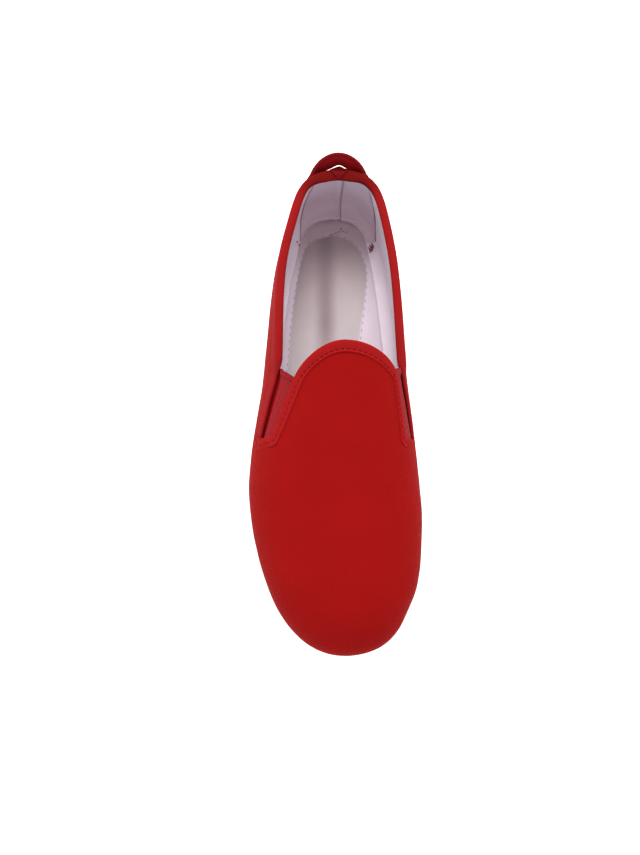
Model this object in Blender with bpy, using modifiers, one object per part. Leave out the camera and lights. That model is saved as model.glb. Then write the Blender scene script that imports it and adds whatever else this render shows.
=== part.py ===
"""A right slip-on cloth shoe: red canvas upper with an elastic gore on each side, taped collar,
taped throat, heel pull loop, sewn-in insole and a moulded rubber sole.

Metres, +Z up. The toe points along -Y and the big toe's side is +X. The origin is on the floor
under the middle of the shoe's box.
"""

import math
from collections import namedtuple

import bmesh
import bpy
from mathutils import Vector

# Driving sizes of the last
SHOE_LENGTH = 0.250
BALL_WIDTH = 0.0886
CROWN_HEIGHT = 0.0475
BULGE_RISE = 0.016
LATERAL_FULLNESS = 2.0
MEDIAL_FULLNESS = 2.4

# Sole
HEEL_THICKNESS = 0.011
BALL_THICKNESS = 0.008
TOE_SPRING = 0.008
SPRING_START = 0.76
ARCH_RISE = 0.0012
WELT = 0.0010
FOOT_BEVEL = 0.0012
RIM_HEIGHT = 0.0030
RIM_STEP = 0.0007
TREAD_BORDER = 0.009
GROOVE_WIDTH = 0.0022
GROOVE_DEPTH = 0.0010
GROOVE_PITCH = 0.008

# Upper, tapes and elastic
WALL = 0.0018
GAP = 0.0003
FEATHER_TUCK = 0.0030
HEEL_TUCK = 0.0065
THROAT_STATION = 0.411
GORE_LENGTH = 0.041
TAPE = 0.0010
COLLAR_TAPE_WIDTH = 0.0045
THROAT_TAPE_WIDTH = 0.0048
COLLAR_HEIGHT = 0.0500
GORE_THICKNESS = 0.0012
GORE_MARGIN = 0.0050
GORE_TOP = 0.0055
GORE_TOP_SLANT = 0.0110

# Insole and pull loop
INSOLE_THICKNESS = 0.0025
INSOLE_BEVEL = 0.0008
LOOP_HALF_SPAN = 0.0140
LOOP_REACH = 0.0042
LOOP_WIDTH = 0.0095
LOOP_ABOVE_COLLAR = 0.0042
LOOP_LEAN = 0.0022
LOOP_DROP = 0.0055
LOOP_SEWN = 0.0030
LOOP_SWING = math.radians(65)
LOOP_THICKNESS = 0.0018

# Columns of the mesh, from heel to toe on each side, and its rows up the wall
HEEL_COLUMNS = 15
ARCH_COLUMNS = 6
GORE_COLUMNS = 6
TOE_COLUMNS = 19
WALL_ROWS = 3
QUARTER_ROWS = 6
VAMP_ROWS = 6

# The loop stands behind the heel, so the whole box is that much longer than the last
HEEL_Y = (SHOE_LENGTH - LOOP_REACH) / 2
HALF_BALL = BALL_WIDTH / 2
LATERAL, MEDIAL = "lateral", "medial"

# Station is a share of SHOE_LENGTH from the heel. Lateral, medial and ridge_x are shares of half
# the ball width, crown is a share of CROWN_HEIGHT, and bulge is a share of BULGE_RISE.
Section = namedtuple("Section", "station lateral medial ridge_x crown bulge")
SECTIONS = [
    Section(0.00, 0.005, 0.005, 0.005, 0.000, 1.00),
    Section(0.02, -0.350, 0.360, 0.005, 0.726, 1.00),
    Section(0.06, -0.525, 0.530, 0.010, 1.158, 1.00),
    Section(0.12, -0.620, 0.618, 0.015, 1.326, 1.00),
    Section(0.20, -0.722, 0.698, 0.020, 1.368, 1.00),
    Section(0.28, -0.780, 0.752, 0.025, 1.248, 1.00),
    Section(0.36, -0.816, 0.796, 0.040, 1.090, 1.00),
    Section(0.44, -0.855, 0.840, 0.060, 0.962, 1.00),
    Section(0.52, -0.920, 0.890, 0.070, 0.869, 0.99),
    Section(0.60, -0.982, 0.945, 0.072, 0.779, 0.98),
    Section(0.66, -1.000, 0.978, 0.072, 0.714, 0.97),
    Section(0.72, -0.972, 1.000, 0.075, 0.660, 0.93),
    Section(0.80, -0.882, 0.982, 0.080, 0.606, 0.87),
    Section(0.86, -0.776, 0.930, 0.085, 0.552, 0.81),
    Section(0.91, -0.648, 0.820, 0.092, 0.476, 0.74),
    Section(0.95, -0.487, 0.698, 0.098, 0.370, 0.68),
    Section(0.98, -0.290, 0.520, 0.101, 0.225, 0.63),
    Section(1.00, 0.101, 0.101, 0.101, 0.000, 0.60),
]

# The top line of the quarters seen from the side. Height is a share of COLLAR_HEIGHT.
TopLine = namedtuple("TopLine", "station height")
TOP_LINE = [
    TopLine(0.000, 1.000),
    TopLine(0.080, 0.965),
    TopLine(0.200, 0.900),
    TopLine(0.320, 0.870),
    TopLine(0.400, 0.850),
    TopLine(0.440, 0.830),
    TopLine(0.500, 0.725),
    TopLine(0.571, 0.610),
    TopLine(0.620, 0.540),
]

# The throat's edge seen from above, each side of the ridge: how wide its round part is, how far
# ahead that part ends, and how much the edge widens from there along the gore.
ThroatSide = namedtuple("ThroatSide", "half_width round_depth flare")
THROAT = {
    "lateral": ThroatSide(0.0185, 0.0160, 0.42),
    "medial": ThroatSide(0.0227, 0.0140, 0.25),
}


def station_angle(station):
    """0 at the heel and 1 at the toe, spaced so that round ends have even steps."""
    station = min(max(station, 0.0), 1.0)
    return math.acos(1 - 2 * station) / math.pi


def angle_station(angle):
    return (1 - math.cos(math.pi * angle)) / 2


def slope_at(knots, values, i):
    """A slope that never overshoots the table's own values."""
    if i in (0, len(knots) - 1):
        near, far = (0, 1) if i == 0 else (-1, -2)
        return (values[far] - values[near]) / (knots[far] - knots[near])
    before = (values[i] - values[i - 1]) / (knots[i] - knots[i - 1])
    after = (values[i + 1] - values[i]) / (knots[i + 1] - knots[i])
    if before * after <= 0:
        return 0.0
    return 2 * before * after / (before + after)


class Column:
    """One column of a table, read smoothly between its rows."""

    def __init__(self, table, name, scale):
        self.knots = [station_angle(row.station) for row in table]
        self.values = [getattr(row, name) * scale for row in table]
        count = len(self.knots)
        self.slopes = [slope_at(self.knots, self.values, i) for i in range(count)]

    def at(self, angle):
        angle = min(max(angle, self.knots[0]), self.knots[-1])
        i = 0
        while i < len(self.knots) - 2 and angle > self.knots[i + 1]:
            i += 1
        width = self.knots[i + 1] - self.knots[i]
        t = (angle - self.knots[i]) / width
        low = self.values[i] * (1 + 2 * t) + self.slopes[i] * width * t
        high = self.values[i + 1] * (3 - 2 * t) - self.slopes[i + 1] * width * (1 - t)
        return low * (1 - t) ** 2 + high * t * t


FULLNESS = {LATERAL: LATERAL_FULLNESS, MEDIAL: MEDIAL_FULLNESS}
EDGES = {
    LATERAL: Column(SECTIONS, "lateral", HALF_BALL),
    MEDIAL: Column(SECTIONS, "medial", HALF_BALL),
}
RIDGE_X = Column(SECTIONS, "ridge_x", HALF_BALL)
CROWN = Column(SECTIONS, "crown", CROWN_HEIGHT)
BULGE = Column(SECTIONS, "bulge", BULGE_RISE)
TOP_HEIGHT = Column(TOP_LINE, "height", COLLAR_HEIGHT)


def smooth_step(low, high, value):
    t = min(max((value - low) / (high - low), 0.0), 1.0)
    return t * t * (3 - 2 * t)


def y_of(station):
    return HEEL_Y - SHOE_LENGTH * station


def station_of(y):
    return min(max((HEEL_Y - y) / SHOE_LENGTH, 0.0), 1.0)


def feather_tuck(angle):
    """How far the wall's foot lies inside its widest line; the heel's tucks under the most."""
    heel = 1 - smooth_step(0.0, 0.14, angle_station(angle))
    return FEATHER_TUCK + (HEEL_TUCK - FEATHER_TUCK) * heel


def spring(station):
    """How far the toe end of the sole lifts off the floor."""
    return TOE_SPRING * max(0.0, (station - SPRING_START) / (1 - SPRING_START)) ** 2


def sole_bottom(y):
    station = station_of(y)
    waist = smooth_step(0.30, 0.40, station) * smooth_step(0.56, 0.48, station)
    return spring(station) + ARCH_RISE * waist


def sole_top(y):
    station = station_of(y)
    thickness = HEEL_THICKNESS + (BALL_THICKNESS - HEEL_THICKNESS) * smooth_step(0.2, 0.7, station)
    return spring(station) + thickness


def outline_point(side, angle):
    """The widest line of the upper, seen from above."""
    return Vector((EDGES[side].at(angle), y_of(angle_station(angle)), 0.0))


def spine_point(angle):
    """The point of the ridge that the wall at this angle climbs to."""
    y = y_of(angle_station(angle))
    from_heel, from_toe = y_of(0) - y, y - y_of(1)
    heel_end, toe_end, end_slope = SHOE_LENGTH * 0.16, SHOE_LENGTH * 0.12, 0.3
    for distance, end, sign, tip in (
        (from_heel, heel_end, -1, y_of(0)),
        (from_toe, toe_end, 1, y_of(1)),
    ):
        reach = 2 * end / (1 - end_slope)
        if distance < reach:
            curve = (1 - end_slope) / (2 * reach)
            y = tip + sign * (end + end_slope * distance + curve * distance**2)
    return Vector((RIDGE_X.at(station_angle(station_of(y))), y, 0.0))


def crown_surface(x, y):
    """Height of the upper's outer surface over a point inside its outline."""
    angle = station_angle(station_of(y))
    ridge = RIDGE_X.at(angle)
    side = LATERAL if x < ridge else MEDIAL
    half = abs(EDGES[side].at(angle) - ridge)
    share = min(abs(x - ridge) / half, 1.0) if half > 1e-6 else 0.0
    dome = (1 - share ** FULLNESS[side]) ** (1 / FULLNESS[side])
    return sole_top(y) + BULGE.at(angle) + CROWN.at(angle) * dome


def surface_normal(point):
    step = 0.00005
    x, y = point.x, point.y
    slope_x = (crown_surface(x + step, y) - crown_surface(x - step, y)) / (2 * step)
    slope_y = (crown_surface(x, y + step) - crown_surface(x, y - step)) / (2 * step)
    return Vector((-slope_x, -slope_y, 1.0)).normalized()


def settled(point):
    """The point moved along the normal until it lies on the outer surface."""
    for _ in range(4):
        normal = surface_normal(point)
        point = point - normal * (point.z - crown_surface(point.x, point.y)) * normal.z
    return point


def climb_point(side, angle, climb):
    """A point on the outer surface: climb is 0 on the widest line and 1 on the ridge."""
    share = math.cos(climb * math.pi / 2)
    base, spine = outline_point(side, angle), spine_point(angle)
    at = spine + (base - spine) * share
    if share > 1 - 1e-9:
        at.z = sole_top(at.y) + BULGE.at(station_angle(station_of(at.y)))
    else:
        at.z = crown_surface(at.x, at.y)
    return at


def wall_point(side, angle, share):
    """A point on the wall below the widest line: share is 0 at the sole and 1 on that line."""
    base, spine = outline_point(side, angle), spine_point(angle)
    inward = (spine - base).normalized()
    at = base + inward * feather_tuck(angle) * (1 - share) ** 2
    foot = sole_top(at.y) + GAP
    bulge = sole_top(base.y) + BULGE.at(station_angle(station_of(base.y)))
    at.z = foot + (bulge - foot) * share
    return at


def bisect(below, low=0.0, high=1.0):
    """The value between low and high where below(value) turns from True to False."""
    for _ in range(40):
        middle = (low + high) / 2
        if below(middle):
            low = middle
        else:
            high = middle
    return (low + high) / 2


THROAT_Y = y_of(THROAT_STATION)
GORE_END_Y = THROAT_Y - GORE_LENGTH


def vamp_half_width(side, depth):
    """How far the vamp's lobe reaches from the ridge, at a distance ahead of its throat."""
    if depth <= 0:
        return 0.0
    throat = THROAT[side]
    round_part = 1 - (1 - min(depth / throat.round_depth, 1.0)) ** 2
    return throat.half_width * math.sqrt(round_part) + throat.flare * depth


def vamp_climb(side, angle):
    """How far up the wall the vamp's edge lies, on the column at this angle."""

    def outside_lobe(climb):
        at = climb_point(side, angle, climb)
        ridge = RIDGE_X.at(station_angle(station_of(at.y)))
        return abs(at.x - ridge) > vamp_half_width(side, THROAT_Y - at.y)

    return bisect(outside_lobe)


def quarter_climb(side, angle):
    """How far up the wall the quarter's top line lies, on the column at this angle."""

    def under_top_line(climb):
        at = climb_point(side, angle, climb)
        top = TOP_HEIGHT.at(station_angle(station_of(at.y)))
        return at.z < sole_top(at.y) + top

    return bisect(under_top_line)


def angle_of_spine(y):
    """The column whose wall ends on the ridge at this y."""
    return bisect(lambda angle: spine_point(angle).y > y)


def angle_through(side, x, y):
    """The column that passes over a point inside the outline."""

    def behind(angle):
        base, spine = outline_point(side, angle), spine_point(angle)
        run = base - spine
        offset = Vector((x, y, 0)) - spine
        return run.x * offset.y - run.y * offset.x < 0

    if side == LATERAL:
        return bisect(lambda angle: not behind(angle))
    return bisect(behind)


def arch_angles():
    """Columns through evenly spaced points of the throat's round edge, on the lateral side."""
    angles = []
    for i in range(ARCH_COLUMNS):
        turn = math.pi / 2 * (i + 1) / ARCH_COLUMNS
        depth = THROAT[LATERAL].round_depth * (1 - math.cos(turn))
        y = THROAT_Y - depth
        ridge = RIDGE_X.at(station_angle(station_of(y)))
        angles.append(angle_through(LATERAL, ridge - vamp_half_width(LATERAL, depth), y))
    return angles


THROAT_ANGLE = angle_of_spine(THROAT_Y)
GORE_ANGLE = station_angle(station_of(GORE_END_Y))


def between(low, high, count):
    """Count even steps from low up to, and without, high."""
    return [low + (high - low) * i / count for i in range(count)]


ARCH_ANGLES = arch_angles()
HEEL_PART = between(0.0, THROAT_ANGLE, HEEL_COLUMNS)
THROAT_PART = [THROAT_ANGLE] + ARCH_ANGLES[:-1] + between(ARCH_ANGLES[-1], GORE_ANGLE, GORE_COLUMNS)
TOE_PART = between(GORE_ANGLE, 1.0, TOE_COLUMNS) + [1.0]


class Climbs:
    """Where the quarter's and the vamp's edges lie on every column of one side."""

    def __init__(self, side):
        self.side = side
        self.quarter_end = quarter_climb(side, GORE_ANGLE)
        self.vamp_end = vamp_climb(side, GORE_ANGLE)

    def quarter(self, angle):
        if angle <= GORE_ANGLE:
            return quarter_climb(self.side, angle)
        fade = smooth_step(GORE_ANGLE, 1.0, angle)
        return self.quarter_end + (0.40 - self.quarter_end) * fade

    def vamp(self, angle):
        if angle <= GORE_ANGLE:
            return vamp_climb(self.side, angle)
        fade = smooth_step(GORE_ANGLE, 1.0, angle)
        return self.vamp_end + (0.55 - self.vamp_end) * fade


CLIMBS = {side: Climbs(side) for side in (LATERAL, MEDIAL)}


# Blender objects and materials
def clear_scene():
    for obj in list(bpy.data.objects):
        bpy.data.objects.remove(obj, do_unlink=True)


def collection_named(name):
    made = bpy.data.collections.new(name)
    bpy.context.scene.collection.children.link(made)
    return made


def material_of(name, colour, roughness):
    material = bpy.data.materials.new(name)
    material.use_nodes = True
    shader = material.node_tree.nodes["Principled BSDF"]
    shader.inputs["Base Color"].default_value = (*colour, 1.0)
    shader.inputs["Roughness"].default_value = roughness
    shader.inputs["Metallic"].default_value = 0.0
    return material


def object_from(mesh_maker, name, collection, material=None):
    """An object whose mesh is the bmesh that mesh_maker fills, with its doubles merged."""
    bm = bmesh.new()
    mesh_maker(bm)
    bmesh.ops.remove_doubles(bm, verts=bm.verts, dist=0.00002)
    bmesh.ops.recalc_face_normals(bm, faces=bm.faces)
    mesh = bpy.data.meshes.new(name)
    bm.to_mesh(mesh)
    bm.free()
    obj = bpy.data.objects.new(name, mesh)
    collection.objects.link(obj)
    if material:
        mesh.materials.append(material)
        mesh.shade_smooth()
        mesh.set_sharp_from_angle(angle=math.radians(40))
    return obj


def face_between(bm, corners):
    """A face on these vertices, leaving out the ones that repeat."""
    kept = [v for i, v in enumerate(corners) if v not in corners[:i]]
    if len(kept) > 2:
        bm.faces.new(kept)


def loft(bm, lines, closed=False):
    """Skins lines of points of equal length, one line to the next."""
    rows = [[bm.verts.new(point) for point in line] for line in lines]
    for row, after in zip(rows, rows[1:]):
        count = len(row) if closed else len(row) - 1
        for i in range(count):
            j = (i + 1) % len(row)
            face_between(bm, [row[i], row[j], after[j], after[i]])
    return rows


# Upper
def quarter_line(side, angle):
    """The column of points from the sole up to the quarter's edge."""
    top = CLIMBS[side].quarter(angle)
    low = [wall_point(side, angle, i / WALL_ROWS) for i in range(WALL_ROWS)]
    high = [climb_point(side, angle, top * i / QUARTER_ROWS) for i in range(QUARTER_ROWS + 1)]
    return low + high


def vamp_line(side, angle):
    """The column of points from the vamp's edge up to the ridge."""
    edge = CLIMBS[side].vamp(angle)
    steps = [edge + (1 - edge) * i / VAMP_ROWS for i in range(VAMP_ROWS + 1)]
    return [climb_point(side, angle, climb) for climb in steps]


def bridge_line(side, angle):
    """The two points across the upper ahead of the gore, from quarter's edge to vamp's edge."""
    climbs = CLIMBS[side]
    return [climb_point(side, angle, climb) for climb in (climbs.quarter(angle), climbs.vamp(angle))]


def upper_surface(bm):
    throat_line = [spine_point(THROAT_ANGLE)] * (VAMP_ROWS + 1)
    for point in throat_line:
        point.z = crown_surface(point.x, point.y)
    for side in (LATERAL, MEDIAL):
        loft(bm, [quarter_line(side, angle) for angle in HEEL_PART + THROAT_PART + TOE_PART])
        vamp_lines = [vamp_line(side, angle) for angle in THROAT_PART[1:] + TOE_PART]
        loft(bm, [throat_line] + vamp_lines)
        loft(bm, [bridge_line(side, angle) for angle in TOE_PART])


def add_wall(obj, thickness):
    """Gives an open surface its thickness, inwards from the face that it shows."""
    solidify = obj.modifiers.new("Wall", "SOLIDIFY")
    solidify.thickness = thickness
    solidify.offset = -1.0
    solidify.use_even_offset = False


def make_upper(collection, material):
    upper = object_from(upper_surface, "upper", collection, material)
    add_wall(upper, WALL)
    return upper


# Tapes round the edges
Seat = namedtuple("Seat", "edge inner edge_normal inner_normal fold")


def seat_at(edge, into, width, fold=None):
    """Where one section of tape lies: into runs across the fabric and fold out over its edge."""
    inner = settled(edge + into * width)
    return Seat(edge, inner, surface_normal(edge), surface_normal(inner), fold or -into)


def across(edge, along, turn):
    """The direction in the surface that leads from an edge into the fabric."""
    return surface_normal(edge).cross(along).normalized() * turn


def seats_along(points, width, turn):
    seats = []
    for i, edge in enumerate(points):
        before, after = points[max(i - 1, 0)], points[min(i + 1, len(points) - 1)]
        seats.append(seat_at(edge, across(edge, after - before, turn), width))
    return seats


def corner_seats(before, corner, after, width, turn, steps=4):
    """Sections that swing the tape round a corner and share one mitred fold inside it."""
    first = across(corner, corner - before, turn)
    last = across(corner, after - corner, turn)
    fold = -(first + last) / (1 + first.dot(last))
    turns = [first.lerp(last, i / steps).normalized() for i in range(steps + 1)]
    return [seat_at(corner, into, width, fold) for into in turns]


def folded_tape(seat):
    """Section of the collar's tape, folded over both faces of the fabric."""
    edge, inner, n_edge, n_inner, fold = seat
    out = GAP + TAPE
    return [
        inner + n_inner * (GAP + TAPE / 2),
        edge + n_edge * out,
        edge + n_edge * out * 0.3 + fold * out * 0.8,
        edge - n_edge * WALL / 2 + fold * out * 1.1,
        edge - n_edge * (WALL + out * 0.3) + fold * out * 0.8,
        edge - n_edge * (WALL + out),
        inner - n_inner * (WALL + GAP + TAPE / 2),
        inner - n_inner * (WALL + GAP),
        edge - n_edge * (WALL + GAP) + fold * GAP,
        edge + n_edge * GAP + fold * GAP,
        inner + n_inner * GAP,
    ]


def turned_tape(seat):
    """Section of the throat's tape, which covers the outer face and the fabric's edge."""
    edge, inner, n_edge, n_inner, fold = seat
    out = GAP + TAPE
    return [
        inner + n_inner * (GAP + TAPE / 2),
        edge + n_edge * out,
        edge + n_edge * out * 0.3 + fold * out * 0.8,
        edge - n_edge * WALL * 0.5 + fold * out,
        edge - n_edge * WALL + fold * out * 0.8,
        edge - n_edge * WALL + fold * GAP,
        edge + n_edge * GAP + fold * GAP,
        inner + n_inner * GAP,
    ]


def edge_path(edge_of, angles):
    """Points along an edge from the lateral gore's end round to the medial one."""
    lateral = [edge_of(LATERAL, angle) for angle in reversed(angles)]
    medial = [edge_of(MEDIAL, angle) for angle in angles[1:]]
    return lateral + medial


def tape_maker(seats, section):
    def fill(bm):
        rings = loft(bm, [section(seat) for seat in seats], closed=True)
        face_between(bm, rings[0])
        face_between(bm, rings[-1])

    return fill


def quarter_edge(side, angle):
    return climb_point(side, angle, CLIMBS[side].quarter(angle))


def vamp_edge(side, angle):
    if angle == THROAT_ANGLE:
        point = spine_point(angle)
        point.z = crown_surface(point.x, point.y)
        return point
    return climb_point(side, angle, CLIMBS[side].vamp(angle))


FOLD_DEPTH = GAP + TAPE
TAPE_END_ANGLE = station_angle(station_of(GORE_END_Y + 2 * FOLD_DEPTH))


def make_collar_tape(collection, material):
    points = edge_path(quarter_edge, HEEL_PART + THROAT_PART + [TAPE_END_ANGLE])
    fill = tape_maker(seats_along(points, COLLAR_TAPE_WIDTH, 1), folded_tape)
    return object_from(fill, "collar_tape", collection, material)


def make_throat_tape(collection, material):
    """The tape runs round the throat, down both gores and across under each gore's end."""
    turn = -1
    points = edge_path(vamp_edge, THROAT_PART + [TAPE_END_ANGLE])
    ends = {}
    for side in (LATERAL, MEDIAL):
        corner, far = vamp_edge(side, GORE_ANGLE), quarter_edge(side, GORE_ANGLE)
        far += (corner - far).normalized() * 2 * GAP
        if side == LATERAL:
            end = [seat_at(far, across(far, corner - far, turn), THROAT_TAPE_WIDTH)]
            end += corner_seats(far, corner, points[0], THROAT_TAPE_WIDTH, turn)
        else:
            end = corner_seats(points[-1], corner, far, THROAT_TAPE_WIDTH, turn)
            end += [seat_at(far, across(far, far - corner, turn), THROAT_TAPE_WIDTH)]
        ends[side] = end
    middle = seats_along(points, THROAT_TAPE_WIDTH, turn)
    fill = tape_maker(ends[LATERAL] + middle + ends[MEDIAL], turned_tape)
    return object_from(fill, "throat_tape", collection, material)


# Elastic gores
def climb_beyond(side, angle, climb, distance):
    """The climb that lies a distance further up the surface than another, or down if negative."""
    here = climb_point(side, angle, climb)
    step = 0.01
    pace = (climb_point(side, angle, climb + step) - here).length / step
    return climb + distance / pace


def gore_surface_of(side):
    """The elastic behind the slot, deeper under the quarter's folded tape than under the vamp."""
    rows, columns = 6, 9
    under_quarter = WALL + GAP + TAPE + GAP
    under_vamp = WALL + GAP
    top_y = THROAT_Y - GORE_TOP
    end_angle = station_angle(station_of(GORE_END_Y - GORE_MARGIN))

    def fill(bm):
        lines = []
        for j in range(columns + 1):
            line = []
            for i in range(rows + 1):
                across = i / rows
                start = station_angle(station_of(top_y - GORE_TOP_SLANT * across))
                angle = start + (end_angle - start) * j / columns
                low = climb_beyond(side, angle, CLIMBS[side].quarter(angle), -GORE_MARGIN)
                high = climb_beyond(side, angle, CLIMBS[side].vamp(angle), GORE_MARGIN)
                at = climb_point(side, angle, low + (high - low) * across)
                depth = under_quarter + (under_vamp - under_quarter) * smooth_step(0.45, 0.75, across)
                line.append(at - surface_normal(at) * depth)
            lines.append(line)
        loft(bm, lines)

    return fill


def make_gore(side, collection, material):
    gore = object_from(gore_surface_of(side), f"gore_{side}", collection, material)
    add_wall(gore, GORE_THICKNESS)
    return gore


# Sole and insole
def ring(angles, inset_from_foot, height_of):
    """A closed line round the shoe, inside the wall's foot by the inset."""

    def inside(side, angle):
        base, spine = outline_point(side, angle), spine_point(angle)
        at = base + (spine - base).normalized() * (feather_tuck(angle) + inset_from_foot)
        at.z = height_of(at.y)
        return at

    lateral = [inside(LATERAL, angle) for angle in angles]
    medial = [inside(MEDIAL, angle) for angle in reversed(angles[1:-1])]
    return lateral + medial


def cap(bm, ring_of_verts):
    """Closes a ring with strips from its lateral to its medial half."""
    count = len(ring_of_verts)
    for i in range(count // 2):
        a, b = ring_of_verts[i], ring_of_verts[i + 1]
        c, d = ring_of_verts[(count - i - 1) % count], ring_of_verts[(count - i) % count]
        face_between(bm, [a, b, c, d])


def lofted_rings(bm, rings):
    rows = loft(bm, rings, closed=True)
    cap(bm, rows[0])
    cap(bm, rows[-1])


SOLE_COLUMNS = 44
SOLE_ANGLES = between(0.0, 1.0, SOLE_COLUMNS) + [1.0]


def sole_body(bm):
    rim_foot = RIM_HEIGHT + RIM_STEP
    rings = [
        ring(SOLE_ANGLES, FOOT_BEVEL - WELT, sole_bottom),
        ring(SOLE_ANGLES, RIM_STEP - WELT, lambda y: sole_bottom(y) + FOOT_BEVEL),
        ring(SOLE_ANGLES, RIM_STEP - WELT, lambda y: sole_top(y) - rim_foot),
        ring(SOLE_ANGLES, -WELT, lambda y: sole_top(y) - RIM_HEIGHT),
        ring(SOLE_ANGLES, -WELT, sole_top),
    ]
    lofted_rings(bm, rings)


def groove_stations():
    """Where the tread's cross grooves run, over the flat heel and the flat forefoot."""
    stations = []
    for low, high in ((0.06, 0.30), (0.57, 0.76)):
        count = int((high - low) * SHOE_LENGTH / GROOVE_PITCH)
        start = low + ((high - low) - count * GROOVE_PITCH / SHOE_LENGTH) / 2
        stations += [start + i * GROOVE_PITCH / SHOE_LENGTH for i in range(count + 1)]
    return stations


def groove_cutters(bm):
    for station in groove_stations():
        angle = station_angle(station)
        low = EDGES[LATERAL].at(angle) + TREAD_BORDER
        high = EDGES[MEDIAL].at(angle) - TREAD_BORDER
        made = bmesh.ops.create_cube(bm, size=1.0)["verts"]
        bmesh.ops.scale(bm, verts=made, vec=(high - low, GROOVE_WIDTH, 2 * GROOVE_DEPTH))
        bmesh.ops.translate(bm, verts=made, vec=((low + high) / 2, y_of(station), 0.0))


def make_outsole(collection, cutters, material):
    outsole = object_from(sole_body, "outsole", collection, material)
    grooves = object_from(groove_cutters, "tread_grooves", cutters)
    grooves.hide_render = True
    grooves.display_type = "WIRE"
    cut = outsole.modifiers.new("Tread", "BOOLEAN")
    cut.operation = "DIFFERENCE"
    cut.object = grooves
    return outsole


def insole_body(bm):
    inset = WALL + GAP
    low, high = GAP, GAP + INSOLE_THICKNESS
    rings = [
        ring(SOLE_ANGLES, inset + INSOLE_BEVEL, lambda y: sole_top(y) + low),
        ring(SOLE_ANGLES, inset, lambda y: sole_top(y) + high - INSOLE_BEVEL),
        ring(SOLE_ANGLES, inset + INSOLE_BEVEL, lambda y: sole_top(y) + high),
    ]
    lofted_rings(bm, rings)


# Pull loop behind the heel
def beside_wall(side, z, reach):
    """A point on the loop's middle face where it lies on the collar's tape, at one height."""
    out = FOLD_DEPTH + GAP + LOOP_THICKNESS / 2

    def at_angle(angle):
        climb = bisect(lambda climb: climb_point(side, angle, climb).z < z)
        at = climb_point(side, angle, climb)
        return at + surface_normal(at) * out

    middle = RIDGE_X.at(0.0)
    angle = bisect(lambda angle: abs(at_angle(angle).x - middle) < reach, 0.0, THROAT_ANGLE / 2)
    return at_angle(angle)


def half_arch(end, apex, steps):
    """Points from the loop's middle out to where it meets the tape, without the middle."""
    points = []
    for i in range(1, steps + 1):
        turn = LOOP_SWING * i / steps
        out = math.sin(turn) / math.sin(LOOP_SWING)
        down = (1 - math.cos(turn)) / (1 - math.cos(LOOP_SWING))
        x = apex.x + (end.x - apex.x) * out
        points.append(Vector((x, *(apex.yz + (end.yz - apex.yz) * down))))
    return points


def loop_surface(bm):
    """A ribbon that arches behind the collar, with its ends laid on the collar's tape."""
    collar_back = climb_point(LATERAL, 0.0, CLIMBS[LATERAL].quarter(0.0))
    back_y = y_of(0) + LOOP_REACH - LOOP_THICKNESS / 2
    lines = []
    for level in (0.0, 0.5, 1.0):
        z = collar_back.z + LOOP_ABOVE_COLLAR - LOOP_WIDTH * (1 - level)
        apex = Vector((collar_back.x, back_y - LOOP_LEAN * (1 - level), z))
        halves = []
        for side in (LATERAL, MEDIAL):
            meets = beside_wall(side, z - LOOP_DROP, LOOP_HALF_SPAN)
            ends = beside_wall(side, z - LOOP_DROP, LOOP_HALF_SPAN + LOOP_SEWN)
            halves.append(half_arch(meets, apex, 8) + [meets.lerp(ends, 0.5), ends])
        lines.append(list(reversed(halves[0])) + [apex] + halves[1])
    loft(bm, lines)


def make_loop(collection, material):
    loop = object_from(loop_surface, "heel_loop", collection, material)
    add_wall(loop, LOOP_THICKNESS)
    loop.modifiers["Wall"].offset = 0.0
    return loop


def main():
    clear_scene()
    shoe = collection_named("cloth_shoe")
    cutters = collection_named("cutters")
    canvas = material_of("red_canvas", (0.40, 0.012, 0.010), 0.85)
    tape = material_of("red_tape", (0.36, 0.010, 0.010), 0.80)
    elastic = material_of("red_elastic", (0.36, 0.018, 0.024), 0.75)
    cotton = material_of("white_cotton", (0.70, 0.66, 0.68), 0.90)
    rubber = material_of("pale_rubber", (0.72, 0.68, 0.60), 0.60)
    make_outsole(shoe, cutters, rubber)
    object_from(insole_body, "insole", shoe, cotton)
    make_upper(shoe, canvas)
    make_collar_tape(shoe, tape)
    make_throat_tape(shoe, tape)
    for side in (LATERAL, MEDIAL):
        make_gore(side, shoe, elastic)
    make_loop(shoe, tape)


main()
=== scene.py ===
"""A right slip-on cloth shoe, standing empty on a pale floor and seen from above."""

import math
from collections import namedtuple

import bmesh
import bpy
from mathutils import Matrix, Quaternion, Vector, noise


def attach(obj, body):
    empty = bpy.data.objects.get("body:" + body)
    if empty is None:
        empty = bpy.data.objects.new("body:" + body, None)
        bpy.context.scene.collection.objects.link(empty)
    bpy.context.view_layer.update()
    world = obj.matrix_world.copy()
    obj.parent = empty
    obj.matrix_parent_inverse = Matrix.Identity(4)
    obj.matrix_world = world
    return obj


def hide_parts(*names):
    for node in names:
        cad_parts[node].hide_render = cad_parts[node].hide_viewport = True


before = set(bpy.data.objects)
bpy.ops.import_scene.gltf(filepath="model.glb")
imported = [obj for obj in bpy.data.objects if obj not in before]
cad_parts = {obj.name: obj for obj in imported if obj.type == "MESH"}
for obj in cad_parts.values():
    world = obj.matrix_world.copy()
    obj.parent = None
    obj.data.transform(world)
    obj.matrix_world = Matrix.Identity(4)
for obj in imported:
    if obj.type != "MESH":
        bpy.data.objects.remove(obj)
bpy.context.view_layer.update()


# Outsole. The real one is a single moulding of pale rubber with a raised rim round its top and
# cross grooves under the heel and the forefoot. Its outline is the foot of the last that the
# whole shoe is pulled over, so the last's table and the way it is read start here.
SHOE_LENGTH = 0.250
HALF_BALL = 0.0443
HEEL_Y = 0.1229
LATERAL, MEDIAL = "lateral", "medial"
SIDES = (LATERAL, MEDIAL)

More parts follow.
